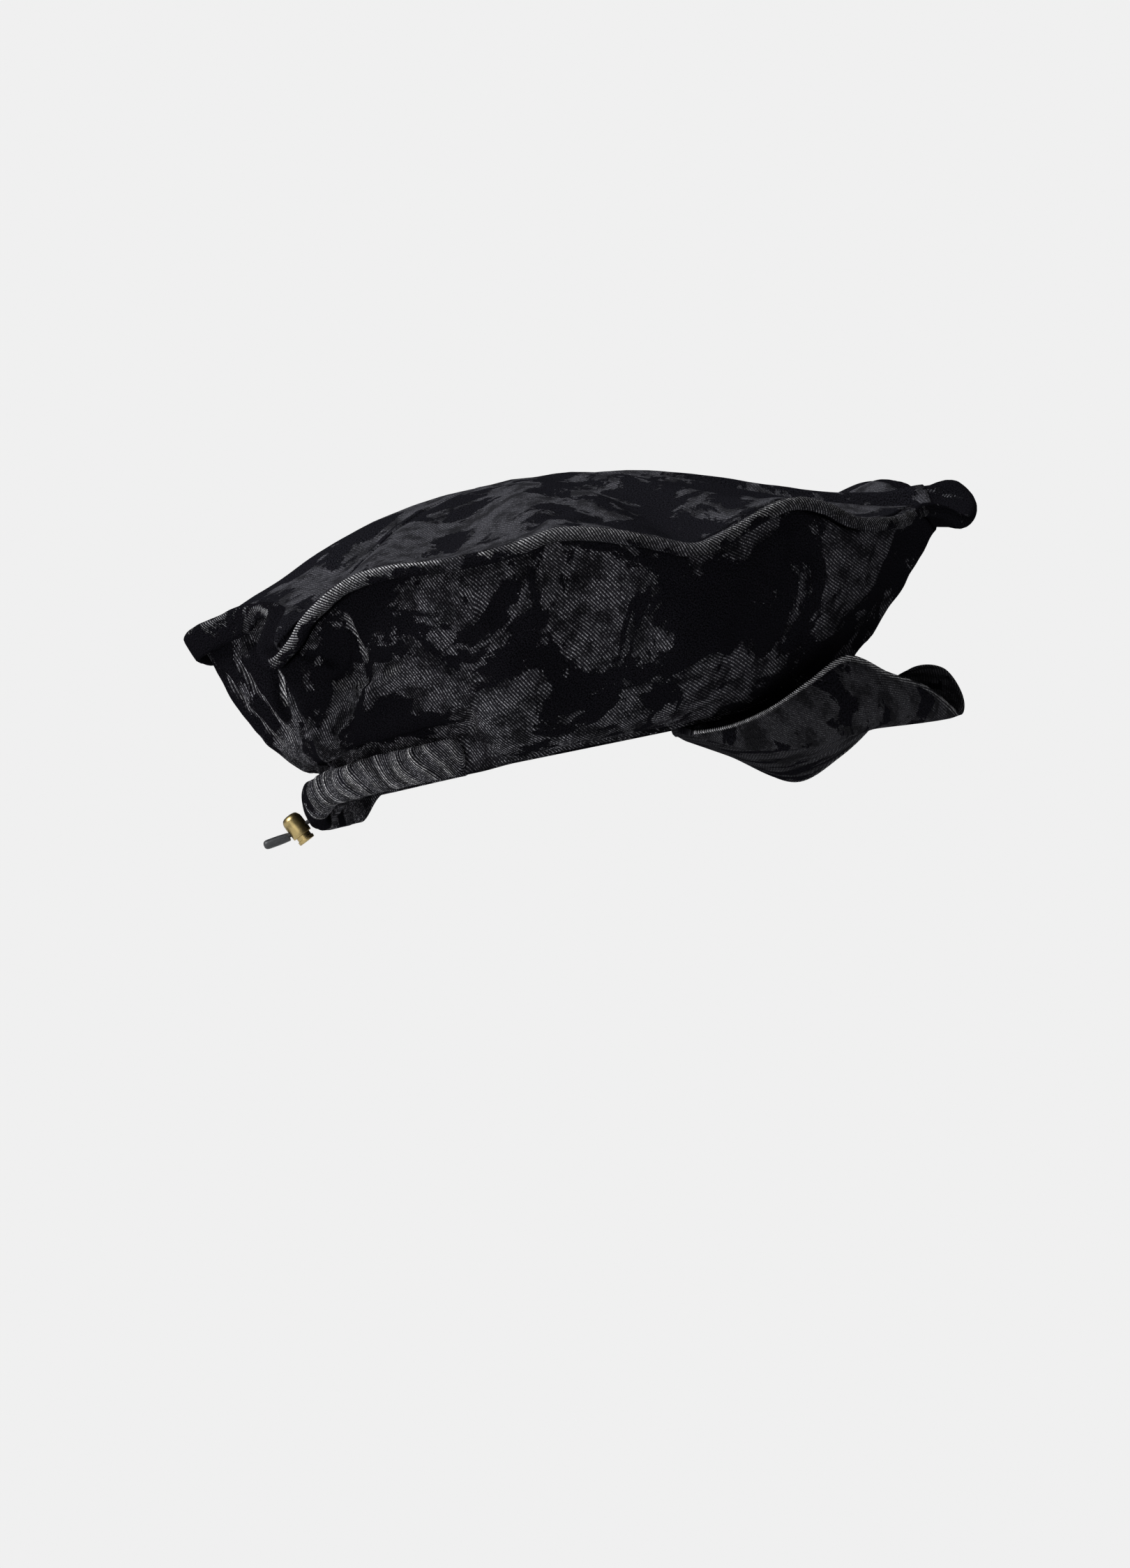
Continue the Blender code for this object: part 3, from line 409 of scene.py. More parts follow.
# Cord lock: the barrel's axis starts at its open end, below the hole for the cord. A profile's
# rows are radius and height
LOCK_HOLE = np.array((-112.9, 0.0, -9.05))
CORD_WAY = np.array((-0.90036, 0.0, -0.43517))
LOCK_AXIS = np.array((-0.43517, 0.0, 0.90036))
BARREL_RADIUS = 4.5
BARREL_LENGTH = 10.4
BORE_RADIUS = 3.6
BORE_DEPTH = 9.1
HOLE_UP = 3.1
HOLE_TALL = 2.4
HOLE_WIDE = 4.4
HOLE_LONG = 18.0
TRAVEL = 1.5
BARREL_RIM = ((4.2, 0.0), (4.42, 0.12), (4.5, 0.5))
BARREL_DOME = ((1.0, 0.62), (0.93, 0.82), (0.72, 0.94), (0.40, 0.99), (0.0, 1.0))
PLUNGER_PROFILE = (
    (0, 7.4), (3.3, 7.4), (3.3, -1.8), (3.65, -1.8), (3.8, -1.95), (3.8, -3), (3.68, -3.28),
    (3.4, -3.4), (0, -3.4),
)
TIP_WAY = np.array((-0.98957, 0.0, -0.14408))
TIP_START = 6.0
TIP_PROFILE = (
    (0, -1.1), (1.5, -1.1), (1.75, -0.9), (1.85, -0.5), (2, 1.5), (2.1, 4), (2.1, 8.5),
    (2.04, 9.3), (1.85, 10), (1.45, 10.5), (0.8, 10.82), (0, 10.9),
)
EYELET_RADIUS = 3.7
EYELET_START = 8.0
EYELET_LENGTH = 6.0
STRAND_RADIUS = 0.85
BRAID_PITCH = 1.9
BRAID_THREADS = 4
BRAID_RELIEF = 0.09

# Cloths. Colours are of the threads, of the ground between them and of the velvet pile
VELVET = (0.0034, 0.0033, 0.0043)
# Painted sheen: the top panel's velvet is paler than the rest, for the sheen of cloth seen at a grazing
# angle
TOP_VELVET_PAINTED_SHEEN = (0.0050, 0.0050, 0.0064)
CLOTHS = {
    # twill's angle, threads, ground, velvet, share of velvet, size of its blotches, twill's
    # period, seed
    # Painted sheen: the top cloth's ground and velvet are paler than the other cloths', for the sheen of
    # cloth seen at a grazing angle
    "top_cloth": (60.0, (0.13, 0.13, 0.145), (0.0135, 0.0135, 0.0155), TOP_VELVET_PAINTED_SHEEN, 0.48, 38.0, 1.25, 40.0),
    "side_cloth": (189.0, (0.42, 0.42, 0.455), (0.0050, 0.0049, 0.0060), VELVET, 0.5, 45.0, 1.2, 10.0),
    "edge_cloth": (52.0, (0.20, 0.20, 0.22), (0.0036, 0.0036, 0.0044), VELVET, 0.5, 30.0, 1.1, 10.0),
    "brim_cloth": (-6.0, (0.11, 0.11, 0.12), (0.0075, 0.0075, 0.0085), VELVET, 0.36, 24.0, 0.85, 70.0),
    "casing_cloth": (98.0, (0.27, 0.27, 0.30), (0.0024, 0.0024, 0.0034), VELVET, 0.08, 38.0, 1.72, 90.0),
}

# Noises of the cloth: scale to a millimetre (the blotches have their own), detail, roughness,
# distortion
WANDER_NOISE = (0.035, 2.0, 0.5)
PATCH_NOISE = (0.09, 3.0, 0.6)
WEAVE_NOISE = (2.0, 2.0, 0.8)
GRAIN_NOISE = (1.6, 2.0, 0.8)
FRAY_NOISE = (0.6, 3.0, 0.7)
PILE_NOISE = (3.0, 2.0, 0.6)
BLOTCH_NOISE = (10.0, 0.66, 0.5)

# Twill: threads lie on slanting ridges, each thread a dash with a strength of its own. A name
# that ends in ENDS holds the values where a share is 0 and where it is 1
TWILL_WANDER = 3.0
RIDGE_SPAN = (0.27, 0.02)
RAISED_SPAN = (0.34, 0.06)
DASH_SPAN = (0.42, 0.18)
PATCH_SPAN = (0.38, 0.62)
THREAD_PITCH = 0.62
THREAD_STAGGER = 0.37
THREAD_LEAN = 0.6
CHANCE_POWER = 2.3
CHANCE_ENDS = (0.09, 1.44)
WORN_CHANCE_ENDS = (0.3, 1.2)
DASH_ENDS = (0.15, 1.0)
RAISED_DASH_ENDS = (0.1, 1.0)
PATCHY_THREAD_ENDS = (0.12, 1.12)
PATCHY_WEAVE_ENDS = (0.45, 1.55)
SPECKLE_ENDS = (-1.5, 2.5)
GROUND_SHADES = (0.3, 3.0)
# Colour of worn threads, also of the highlight painted on the tunnel's gather ridges
WORN_THREAD_AND_HIGHLIGHT = (0.92, 0.92, 0.95)

# Velvet flock
SEED_SLOPE = 0.7
BARE_SHIFT = 0.12
WORN_SHIFT = 0.35
FLOCK_MIDDLE = 0.5
FLOCK_SPREAD = 0.30
FLOCK_SOFTNESS = 0.006
FRAY_ENDS = (-0.015, 0.015)
PILE_SHADES = (0.1, 2.4)
PILE_ENDS = (0.9, 1.25)
CLOTH_ROUGHNESS_ENDS = (0.6, 0.9)
BUMP_STRENGTH = 0.8
BUMP_DEPTH = 0.0004

# Brass, cord and rubber, with soft dark patches
FINISHES = {
    # colour, roughness, metallic, size of the patches in metres
    "antique_brass": ((0.40, 0.31, 0.14), 0.36, 1.0, 0.004),
    "elastic_cord": ((0.012, 0.012, 0.013), 0.7, 0.0, 0.001),
    "tip_rubber": ((0.022, 0.024, 0.027), 0.5, 0.0, 0.0008),
}
DULL_NOISE = (3.0, 0.55)
DULL_SPAN = (0.3, 0.6)
DULL_SHADES = (0.6, 1.0)
DULL_ROUGHNESS = 0.1

# Studio, in metres
BACKDROP = (0.871, 0.871, 0.871, 1.0)
WORLD_LIGHT = 0.10
FLOOR_HEIGHT = -0.6
FLOOR_RADIUS = 30.0
FLOOR_SIDES = 96
FLOOR_COLOUR = (0.8, 0.8, 0.8, 1.0)
FLOOR_ROUGHNESS = 0.9
FLOOR_GLOW_SPAN = (0.5, 1.6)
LIGHT_AIM = Vector((0.0, 0.0, 0.04))
LIGHTS = (
    # name, place, size, power
    ("key", (-2.2, -1.2, 1.5), 1.2, 88),
    ("overhead", (-0.2, 0.3, 2.2), 1.6, 40),
    ("low_fill", (-0.8, -2, -0.35), 1.5, 10),
    ("back_fill", (0.8, 2.4, 0.9), 1.5, 20),
)


def placed(points):
    """Turn points of the hat, in millimetres, into the part's frame, in metres."""
    points = np.asarray(points, float)
    cos, sin = math.cos(WORN_TILT), math.sin(WORN_TILT)
    x = points[..., 0] * cos - points[..., 2] * sin
    z = points[..., 0] * sin + points[..., 2] * cos
    return np.stack((x, points[..., 1], z), axis=-1) * MM


def unit(vectors):
    return vectors / np.maximum(np.linalg.norm(vectors, axis=-1, keepdims=True), NEARLY_ZERO)


def gauss(distance, width):
    return np.exp(-((distance / width) ** 2))


def ease(share):
    share = np.clip(share, 0.0, 1.0)
    return share * share * (3 - 2 * share)


def ramp(value, span):
    """0 at the first value of a span and 1 at the second, which may be the lower one."""
    return ease((value - span[0]) / (span[1] - span[0]))


def waves(turn, table):
    """The sum of a table's waves: how often, start, strength."""
    return sum(strength * np.sin(turn * often + start) for often, start, strength in table)


def angle_gap(a, b):
    return (a - b + 180.0) % 360.0 - 180.0


def beak(angle):
    """How far the front corner, where the edge is pressed flat and wide, reaches at an angle."""
    return gauss(angle_gap(angle, BEAK_ANGLE), BEAK_SPREAD)


def hermite(t, start, end, leave, arrive):
    """A smooth curve from start to end, by how steeply it leaves and arrives."""
    return (
        start * (1 + 2 * t) * (1 - t) ** 2
        + leave * t * (1 - t) ** 2
        + end * t * t * (3 - 2 * t)
        + arrive * t * t * (t - 1)
    )


def curve_through(first, middle, last, share):
    """The point at a share of the way along the curve through three points."""
    made = first * (1 - share) * (1 - 2 * share) + middle * 4 * share * (1 - share)
    return made + last * share * (2 * share - 1)


def smooth_rows(rows, steps, closed):
    """Rows of numbers through the given rows, on smooth curves paced by the distance covered."""
    rows = np.asarray(rows, float)
    before, after = np.roll(rows, 1, axis=0), np.roll(rows, -1, axis=0)
    if not closed:
        before[0], after[-1] = rows[0], rows[-1]
    pace = np.maximum(np.linalg.norm((after - rows)[:, :3], axis=1), LEAST_PACE)[:, None]
    pace_before = np.roll(pace, 1, axis=0)
    if not closed:
        pace_before[0] = LEAST_PACE
    slope = (rows - before) / pace_before * pace + (after - rows) / pace * pace_before
    slope = slope / (pace_before + pace)
    leave, arrive = slope * pace, np.roll(slope, -1, axis=0) * pace
    made = [hermite(step / steps, rows, after, leave, arrive) for step in range(steps)]
    made = np.stack(made, axis=1).reshape(-1, rows.shape[1])
    if not closed:
        made = np.vstack((made[: (len(rows) - 1) * steps], rows[-1:]))
    return made


def table_value(table, angle, column, closed=True):
    """Values of a table at angles, eased between the rows on either side."""
    keys = np.array([row[0] for row in table], float)
    values = np.array([row[column] for row in table], float)
    if closed:
        keys, values = np.append(keys, keys[0] + 360.0), np.append(values, values[0])
    angle = np.clip(angle, keys[0], keys[-1])
    i = np.clip(np.searchsorted(keys, angle) - 1, 0, len(keys) - 2)
    return values[i] + (values[i + 1] - values[i]) * ramp(angle, (keys[i], keys[i + 1]))


def smooth_column(reach, column):
    """A column of the dome's table at any reach, on one smooth curve."""
    keys = np.array([row[0] for row in DOME] + [1.0])
    values = np.array([row[column] for row in DOME] + [1.0])
    slope = np.gradient(values, keys)
    i = np.clip(np.searchsorted(keys, reach) - 1, 0, len(keys) - 2)
    gap = keys[i + 1] - keys[i]
    return hermite((reach - keys[i]) / gap, values[i], values[i + 1], slope[i] * gap, slope[i + 1] * gap)


def around_opening(angle, out, height):
    """Points round the head opening at angles in degrees from the front."""
    turn = np.radians(angle)
    reach = 1.0 / np.hypot(np.cos(turn) / (OPENING_LENGTH / 2), np.sin(turn) / (OPENING_WIDTH / 2))
    reach = reach + out
    return np.stack(np.broadcast_arrays(reach * np.cos(turn), reach * np.sin(turn), height), axis=-1)


def around_table(column, steps):
    """A column of angles of the edge's table, in fine steps without corners."""
    count = len(EDGE) * steps
    keys = np.arange(len(EDGE) + 1) * steps
    values = np.array([row[column] for row in EDGE] + [EDGE[0][column] + 360.0])
    steady = -180.0 + 360.0 * np.arange(count) / count
    rest = np.interp(np.arange(count), keys, values) - steady
    window = np.hanning(steps + 2)[1:-1]
    window = window / window.sum()
    spread = np.concatenate((rest[-steps:], rest, rest[:steps]))
    return np.convolve(spread, window, mode="same")[steps:-steps] + steady


def edge_frames():
    """Points along the crown's edge, with their inward and upward directions and angles."""
    turn, reach, height = np.array([row[:3] for row in EDGE]).T
    turn = np.radians(turn)
    rows = np.stack((CROWN_CENTRE + reach * np.cos(turn), reach * np.sin(turn), height), axis=1)
    points = smooth_rows(rows, EDGE_STEPS, closed=True)
    half = EDGE_STEPS // 2
    along = unit(np.roll(points, -half, axis=0) - np.roll(points, half, axis=0))
    level = np.zeros(len(points))
    inward = unit(np.stack((-along[:, 1], along[:, 0], level), axis=1))
    upward = unit(np.cross(along, inward))
    to_centre = unit(np.stack((CROWN_CENTRE - points[:, 0], -points[:, 1], level), axis=1))
    angle = around_table(0, EDGE_STEPS)
    share = beak(angle)[:, None]
    inward = unit(inward * (1 - share) + to_centre * share)
    return points, inward, upward, angle, around_table(3, EDGE_STEPS)


def top_surface(frames):
    """Rows of points of the top panel from its border to near the dome's middle."""
    edge, inward, upward, angle, _ = frames
    middle = np.array((DOME_CENTRE, 0.0, DOME_HEIGHT))
    border = edge + inward * (TOP_INSET + BEAK_WIDTH * beak(angle)[:, None]) + upward * BORDER_RISE
    facing = np.cos(np.radians(angle))
    to_front, to_back = np.maximum(facing, 0) ** 2, np.maximum(-facing, 0) ** 2
    rows = []
    for reach in TOP_REACHES:
        back, front, side = [smooth_column(reach, column) for column in (1, 2, 3)]
        climb = side + (front - side) * to_front + (back - side) * to_back
        row = border + (middle - border) * reach
        row[:, 2] = border[:, 2] + (middle[2] - border[:, 2]) * climb
        fade = min(reach / TOP_FOLD_RISE, max(TOP_FOLD_END - reach, 0.0) / TOP_FOLD_FADE, 1.0)
        for _, fold_angle, half_width, height, centre, half_length in TOP_FOLDS:
            across = gauss(angle_gap(angle, fold_angle), half_width)
            row[:, 2] += height * across * gauss(reach - centre, half_length) * fade
        rows.append(row)
    return np.array(rows)


def casing_at(angle):
    """Bottom, top and depth of the tunnel at angles from the middle of the back."""
    return [table_value(CASING, angle, column, closed=False) for column in (1, 2, 3)]


def side_low_strip(low_angle):
    """Lower border of the side panel and the line where it starts to flare, above the tunnel."""
    from_back = angle_gap(180.0, low_angle)
    bottom, top, _ = casing_at(from_back)
    share = ramp(np.abs(from_back), (CASING_END + CASING_FADE, CASING_END))
    low = HEM_HEIGHT + (bottom + SEAM_GAP - HEM_HEIGHT) * share
    flare = HEM_HEIGHT + HEM_STRIP + (top + SEAM_GAP - HEM_HEIGHT - HEM_STRIP) * share
    return around_opening(low_angle, CLOTH_WALL, low), around_opening(low_angle, CLOTH_WALL, flare)


def side_surface(frames):
    """Rows of points of the side panel, from its lower border up to the edge."""
    edge, inward, upward, angle, low_angle = frames
    border, low = side_low_strip(low_angle)
    high = edge + inward * (SIDE_INSET + BEAK_WIDTH * beak(angle)[:, None]) - upward * BORDER_DROP
    out_low, up_low, in_top, down_top = [table_value(BELLY, angle, k)[:, None] for k in (1, 2, 3, 4)]
    turn = np.radians(low_angle)
    out = np.stack((np.cos(turn), np.sin(turn), np.zeros(len(turn))), axis=1)
    rise = np.array((0.0, 0.0, 1.0))
    leave = low + out * out_low + rise * up_low
    arrive = high + inward * in_top - rise * down_top
    rows = [border + (low - border) * share for share in np.arange(STRIP_ROWS) / STRIP_ROWS]
    for t in np.linspace(0.0, 1.0, SIDE_ROWS):
        row = low * (1 - t) ** 3 + leave * 3 * t * (1 - t) ** 2
        row = row + arrive * 3 * t * t * (1 - t) + high * t ** 3
        outward = -unit(inward * t - out * (1 - t))
        fade = min(t / SIDE_FOLD_RISE, (1 - t) / SIDE_FOLD_FADE, 1.0)
        here = angle + angle_gap(low_angle, angle) * (1 - t)
        for _, top_angle, low_fold, half_width, depth, centre, half_length in SIDE_FOLDS:
            fold = top_angle + angle_gap(low_fold, top_angle) * (1 - t)
            across = gauss(angle_gap(here, fold), half_width)[:, None]
            row = row + outward * depth * across * gauss(t - centre, half_length) * fade
        rows.append(row)
    return np.array(rows)


def lengths_along(rows, axis):
    """Distance covered along rows (axis 0) or columns (axis 1) of a grid of points."""
    gaps = np.linalg.norm(np.diff(rows, axis=axis), axis=2)
    start = np.zeros_like(np.take(gaps, [0], axis=axis))
    return np.concatenate((start, np.cumsum(gaps, axis=axis)), axis=axis)


def closed_round(grid):
    """The grid with its first column once more at its end."""
    return np.concatenate((grid, grid[:, :1]), axis=1)


def flat_pattern(rows, seam):
    """Cloth coordinates of the side panel as it was cut: a flared ring opened at the seam."""
    height = lengths_along(rows, 0)
    level = len(rows) // 2
    around = lengths_along(closed_round(rows[level:level + 1]), 1)[0]
    turn = (around - around[seam]) / around[-1] * PATTERN_TURN
    radius = closed_round(around[-1] / PATTERN_TURN - height[level].mean() + height)
    return np.stack((radius * np.sin(turn), radius * np.cos(turn)), axis=2)


def grid_mesh(name, rows, flat=None, around=False, pole=None):
    """A mesh of quads through rows of points, and of triangles to a pole. flat is a grid of
    cloth coordinates, with one column more than the points where the rows are closed."""
    count_rows, count = rows.shape[:2]
    points = placed(rows).reshape(-1, 3)
    i, j = np.indices((count_rows - 1, count if around else count - 1)).reshape(2, -1)
    k = (j + 1) % count
    faces = np.stack((i * count + j, i * count + k, (i + 1) * count + k, (i + 1) * count + j), axis=1)
    faces = faces.tolist()
    if flat is not None:
        corners = flat[np.stack((i, i, i + 1, i + 1), axis=1), np.stack((j, j + 1, j + 1, j), axis=1)]
        corners = corners.reshape(-1, 2)
    if pole is not None:
        step = np.arange(count)
        last = (count_rows - 1) * count
        tip = np.full(count, len(points))
        faces += np.stack((last + step, last + (step + 1) % count, tip), axis=1).tolist()
        points = np.vstack((points, placed(pole)[None]))
        at_pole = np.stack((flat[-1, :count], flat[-1, 1:count + 1], np.zeros((count, 2))), axis=1)
        corners = np.vstack((corners, at_pole.reshape(-1, 2)))
    mesh = bpy.data.meshes.new(name)
    mesh.from_pydata(points.tolist(), [], faces)
    if flat is not None:
        mesh.uv_layers.new(name="cloth").data.foreach_set("uv", (corners * MAP_SCALE).ravel())
    mesh.shade_smooth()
    return mesh


def linked(name, data):
    """A new object in the scene."""
    made = bpy.data.objects.new(name, data)
    bpy.context.collection.objects.link(made)
    return made


def add_piece(name, mesh, finish, node, body="hat"):
    """Put a piece on its body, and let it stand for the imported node."""
    mesh.materials.append(finish)
    piece = linked(name, mesh)
    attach(piece, body)
    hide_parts(node)
    return piece


def set_values(mesh, name, values):
    """Keep one number for each point, for the material to read. The pole's stays 0."""
    data = np.zeros(len(mesh.vertices))
    data[:values.size] = values.ravel()
    mesh.attributes.new(name, "FLOAT", "POINT").data.foreach_set("value", data)


def thicken(piece, wall, offset=-1.0):
    """Make a sheet a wall, inwards from it or, with an offset of 0, to both sides of it."""
    cloth = piece.modifiers.new("cloth_wall", "SOLIDIFY")
    cloth.thickness = wall * MM
    cloth.offset = offset
    cloth.use_even_offset = False


def ripple(points, size, seed, height):
    """Smooth noise at points of the hat, for small unevenness of the cloth."""
    places = points.reshape(-1, 3) / size + seed
    values = [noise.fractal(Vector(p), NOISE_SMOOTHNESS, NOISE_FINER, NOISE_LAYERS) for p in places]
    return np.array(values).reshape(points.shape[:-1]) * height


def outward_of(rows):
    """Unit directions square to a grid of points that is closed round."""
    ahead = np.roll(rows, -1, axis=1) - np.roll(rows, 1, axis=1)
    return unit(np.cross(np.gradient(rows, axis=0), ahead))


def sampled(rows, angles, shares, places):
    """Points of a grid at (angle, share of the way up) places."""
    found = []
    for angle, share in places:
        column = rows[:, np.argmin(np.abs(angle_gap(angles, angle)))]
        found.append([np.interp(share, shares, column[:, k]) for k in range(3)])
    return np.array(found)


def path_distance(points, path):
    """Signed distance of points from a path, positive above one that runs to the front, and the
    share covered along it."""
    best = np.full(points.shape[:-1], np.inf)
    signed = np.zeros_like(best)
    covered = np.zeros_like(best)
    lengths = np.linalg.norm(np.diff(path, axis=0), axis=1)
    starts = np.concatenate(([0.0], np.cumsum(lengths)))
    for number, (a, b) in enumerate(zip(path[:-1], path[1:])):
        along = unit(b - a)
        reach = np.clip((points - a) @ along, 0.0, lengths[number])
        apart = points - (a + reach[..., None] * along)
        distance = np.linalg.norm(apart, axis=-1)
        closer = distance < best
        best = np.where(closer, distance, best)
        side = np.where(np.cross(along, apart)[..., 1] < 0, 1.0, -1.0)
        signed = np.where(closer, distance * side, signed)
        covered = np.where(closer, (starts[number] + reach) / starts[-1], covered)
    return signed, covered


def creased(rows, angles, shares, creases):
    """The grid with its creases raised along its outward directions, and how worn each point is."""
    outward = outward_of(rows)
    lift = np.zeros(rows.shape[:2])
    worn = np.zeros(rows.shape[:2])
    steps = np.linspace(0.0, 1.0, PATH_STEPS)[:, None]
    for _, places, width, rise, kept, wear in creases:
        path = curve_through(*sampled(rows, angles, shares, places), steps)
        signed, covered = path_distance(rows, path)
        ends = ease(covered / PATH_FADE) * ease((1 - covered) / PATH_FADE)
        if kept:
            shape = ramp(signed, (-width, width)) * np.exp(-np.maximum(signed, 0.0) / kept)
        else:
            shape = gauss(signed, width)
        lift += rise * shape * ends
        worn = np.maximum(worn, wear * gauss(signed, WEAR_WIDTH) * ends)
    return rows + outward * lift[..., None], worn


def bared(angles, shares, places):
    """How much more twill, or velvet below 0, shows round the places of a table."""
    return sum(
        gauss(angle_gap(angles, at), wide) * gauss(shares[:, None] - share, high) * much
        for at, wide, share, high, much in places
    )


def crown_top(frames, finish):
    """The domed top panel, with its long folds, wrinkles and creases."""
    angle = frames[3]
    rows = top_surface(frames)
    lift = ripple(rows, *TOP_UNEVEN) * ramp(TOP_REACHES, TOP_UNEVEN_SPAN)[:, None]
    rows[:, :, 2] += lift + wrinkles(angle, TOP_REACHES)
    rows, worn = creased(rows, angle, TOP_REACHES, TOP_CREASES)
    flat = closed_round(rows[:, :, :2] - np.array((DOME_CENTRE, 0.0)))
    pole = np.array((DOME_CENTRE, 0.0, DOME_HEIGHT))
    mesh = grid_mesh("top_panel", rows, flat, around=True, pole=pole)
    set_values(mesh, "wear", worn)
    set_values(mesh, "bare", bared(angle, TOP_REACHES, TOP_BARE_PLACES))
    thicken(add_piece("top_panel", mesh, finish, "crown_top"), CLOTH_WALL)


def wrinkles(angle, reaches):
    """Long soft wrinkles of the top panel, running in from its border."""
    turn = np.radians(angle)
    around = (np.cos(turn) * WRINKLES_AROUND, np.sin(turn) * WRINKLES_AROUND)
    places = np.stack(np.broadcast_arrays(*around, reaches[:, None] * WRINKLE_SPEED), axis=2)
    fade = ramp(reaches, WRINKLE_START_SPAN) * ramp(reaches, WRINKLE_END_SPAN)
    return ripple(places, *TOP_WRINKLES) * fade[:, None]


def crown_side(frames, finish):
    """The flared side panel, with its hanging folds and the fullness over the tunnel."""
    angle, low_angle = frames[3:]
    from_back = np.abs(angle_gap(180.0, low_angle))
    rows = side_surface(frames)
    shares = np.concatenate((np.linspace(*STRIP_SHARES, STRIP_ROWS), np.linspace(0.0, 1.0, SIDE_ROWS)))
    fade = ramp(shares, SIDE_LOW_SPAN) * ramp(shares, SIDE_HIGH_SPAN)
    uneven = (ripple(rows, *SIDE_UNEVEN) + puckers(low_angle, shares)) * fade[:, None]
    puffed = PUFF_DEPTH * ramp(from_back, PUFF_SPAN) * gauss(shares[:, None] - PUFF_SHARE, PUFF_REACH)
    lift = uneven + puffed * ramp(shares, PUFF_LOW_SPAN)[:, None]
    rows, worn = creased(rows + outward_of(rows) * lift[..., None], angle, shares, SIDE_CREASES)
    seam = int(np.argmin(np.abs(angle_gap(angle, SEAM_ANGLE))))
    mesh = grid_mesh("side_panel", rows, flat_pattern(rows, seam), around=True)
    set_values(mesh, "wear", worn)
    gathered = GATHER_BARE * ramp(from_back, GATHER_BARE_SPAN) * gauss(shares[:, None], GATHER_BARE_REACH)
    set_values(mesh, "bare", bared(angle, shares, SIDE_BARE_PLACES) + gathered)
    # Painted shade: the pale threads dimmed towards the front, kept in the 'fade' attribute
    painted_shade = FRONT_PAINTED_SHADE * ramp(angle, PAINTED_SHADE_START_SPAN) * ramp(angle, PAINTED_SHADE_END_SPAN)
    set_values(mesh, "fade", np.broadcast_to(painted_shade, worn.shape))
    thicken(add_piece("side_panel", mesh, finish, "crown_side"), CLOTH_WALL)


def puckers(low_angle, shares):
    """Small upright folds of the side panel, drawn up by the tunnel below them."""
    from_back = angle_gap(180.0, low_angle)
    wave = ramp(np.abs(from_back), PUCKER_SPAN) * waves(np.radians(from_back), PUCKER_WAVES)
    return PUCKER_DEPTH * wave * np.exp(-np.maximum(shares, 0.0) / PUCKER_REACH)[:, None]


def edge_wear(angle, across, upright):
    """How worn the edge is: a band on its outer face, and a line along its upper fold."""
    places, band, line = np.array(WORN_EDGE).T
    band = np.interp(angle, places, band, period=360.0)
    line = np.interp(angle, places, line, period=360.0)
    outer = ramp(across, OUTER_FACE_SPAN)
    low = np.exp((np.minimum(upright, WORN_BAND_TOP) - WORN_BAND_TOP) / WORN_BAND_REACH)
    on_band = ramp(upright, WORN_BAND_SPAN) * low * outer
    on_line = gauss(upright - WORN_LINE_HEIGHT, WORN_LINE_WIDTH) * outer
    return np.maximum(on_band * band, on_line * line)


def crown_edge(frames, finish):
    """The raised edge: top and side cloth folded outwards and pressed flat."""
    edge, inward, upward, angle, _ = frames
    across, upright, tip_across, tip_upright = np.array(EDGE_FACE).T[..., None]
    wider = 1 + BEAK_WIDTH / EDGE_WIDTH * beak(angle)
    tip = ramp(np.abs(angle), TIP_FLANGE_SPAN)
    out = across * wider * (1 - tip) + tip_across * tip
    rise = upright * (1 - tip) + tip_upright * tip
    rows = edge + inward * out[..., None] + upward * rise[..., None]
    rows = rows + upward * ripple(rows, *EDGE_UNEVEN)[..., None]
    covered = closed_round(lengths_along(rows, 0))
    along = np.broadcast_to(lengths_along(closed_round(edge[None]), 1), covered.shape)
    mesh = grid_mesh("stitched_edge", rows, np.stack((along, covered), axis=2), around=True)
    set_values(mesh, "wear", edge_wear(angle, across, upright))
    velvet = sum(much * gauss(angle_gap(angle, at), wide) for at, wide, much in EDGE_VELVET_PLACES)
    set_values(mesh, "bare", np.broadcast_to(-velvet, rows.shape[:2]))
    weld(mesh)
    add_piece("stitched_edge", mesh, finish, "crown_edge")


def brim(finish):
    """The soft peak, with its seam allowance turned up inside the side panel."""
    rows = []
    for sewn, *rest in BRIM:
        start = around_opening(sewn, BRIM_SEWN_OUT, BRIM_SEWN_HEIGHT)
        rows.append((*rest[3:6], *rest[0:3], *start, sewn))
    columns = smooth_rows(rows, BRIM_STEPS, closed=False)
    edge, middle, start, sewn = columns[:, 0:3], columns[:, 3:6], columns[:, 6:9], columns[:, 9]
    levels = [around_opening(sewn, out, height) for out, height in BRIM_ALLOWANCE]
    levels += [curve_through(start, middle, edge, share) for share in np.linspace(0.0, 1.0, BRIM_ROWS)]
    levels = np.array(levels)
    up = lengths_along(levels, 0)
    mesh = grid_mesh("soft_peak", levels, np.stack((lengths_along(levels, 1), up), axis=2))
    to_edge = up[-1] - up
    strength = np.interp(np.linspace(0.0, 1.0, levels.shape[1]), *np.array(WORN_BRIM).T)
    set_values(mesh, "wear", strength * ramp(to_edge, WORN_BRIM_SPAN))
    piece = add_piece("soft_peak", mesh, finish, "brim")
    thicken(piece, BRIM_WALL, offset=0.0)
    thin = piece.vertex_groups.new(name="wall")
    for number, share in enumerate((1 - PEAK_EDGE_THINNING * gauss(to_edge, PEAK_EDGE_REACH)).ravel()):
        thin.add([number], share, "REPLACE")
    piece.modifiers["cloth_wall"].vertex_group = thin.name


def gather(fold):
    """Ripple of the gathered cloth round the tunnel."""
    fold = fold / GATHER_PITCH
    fast, slow = GATHER_BEATS
    strong = GATHER_MEAN + GATHER_SWING * np.sin(fold * fast) * np.cos(fold * slow)
    return strong * waves(math.pi * fold, GATHER_WAVES)


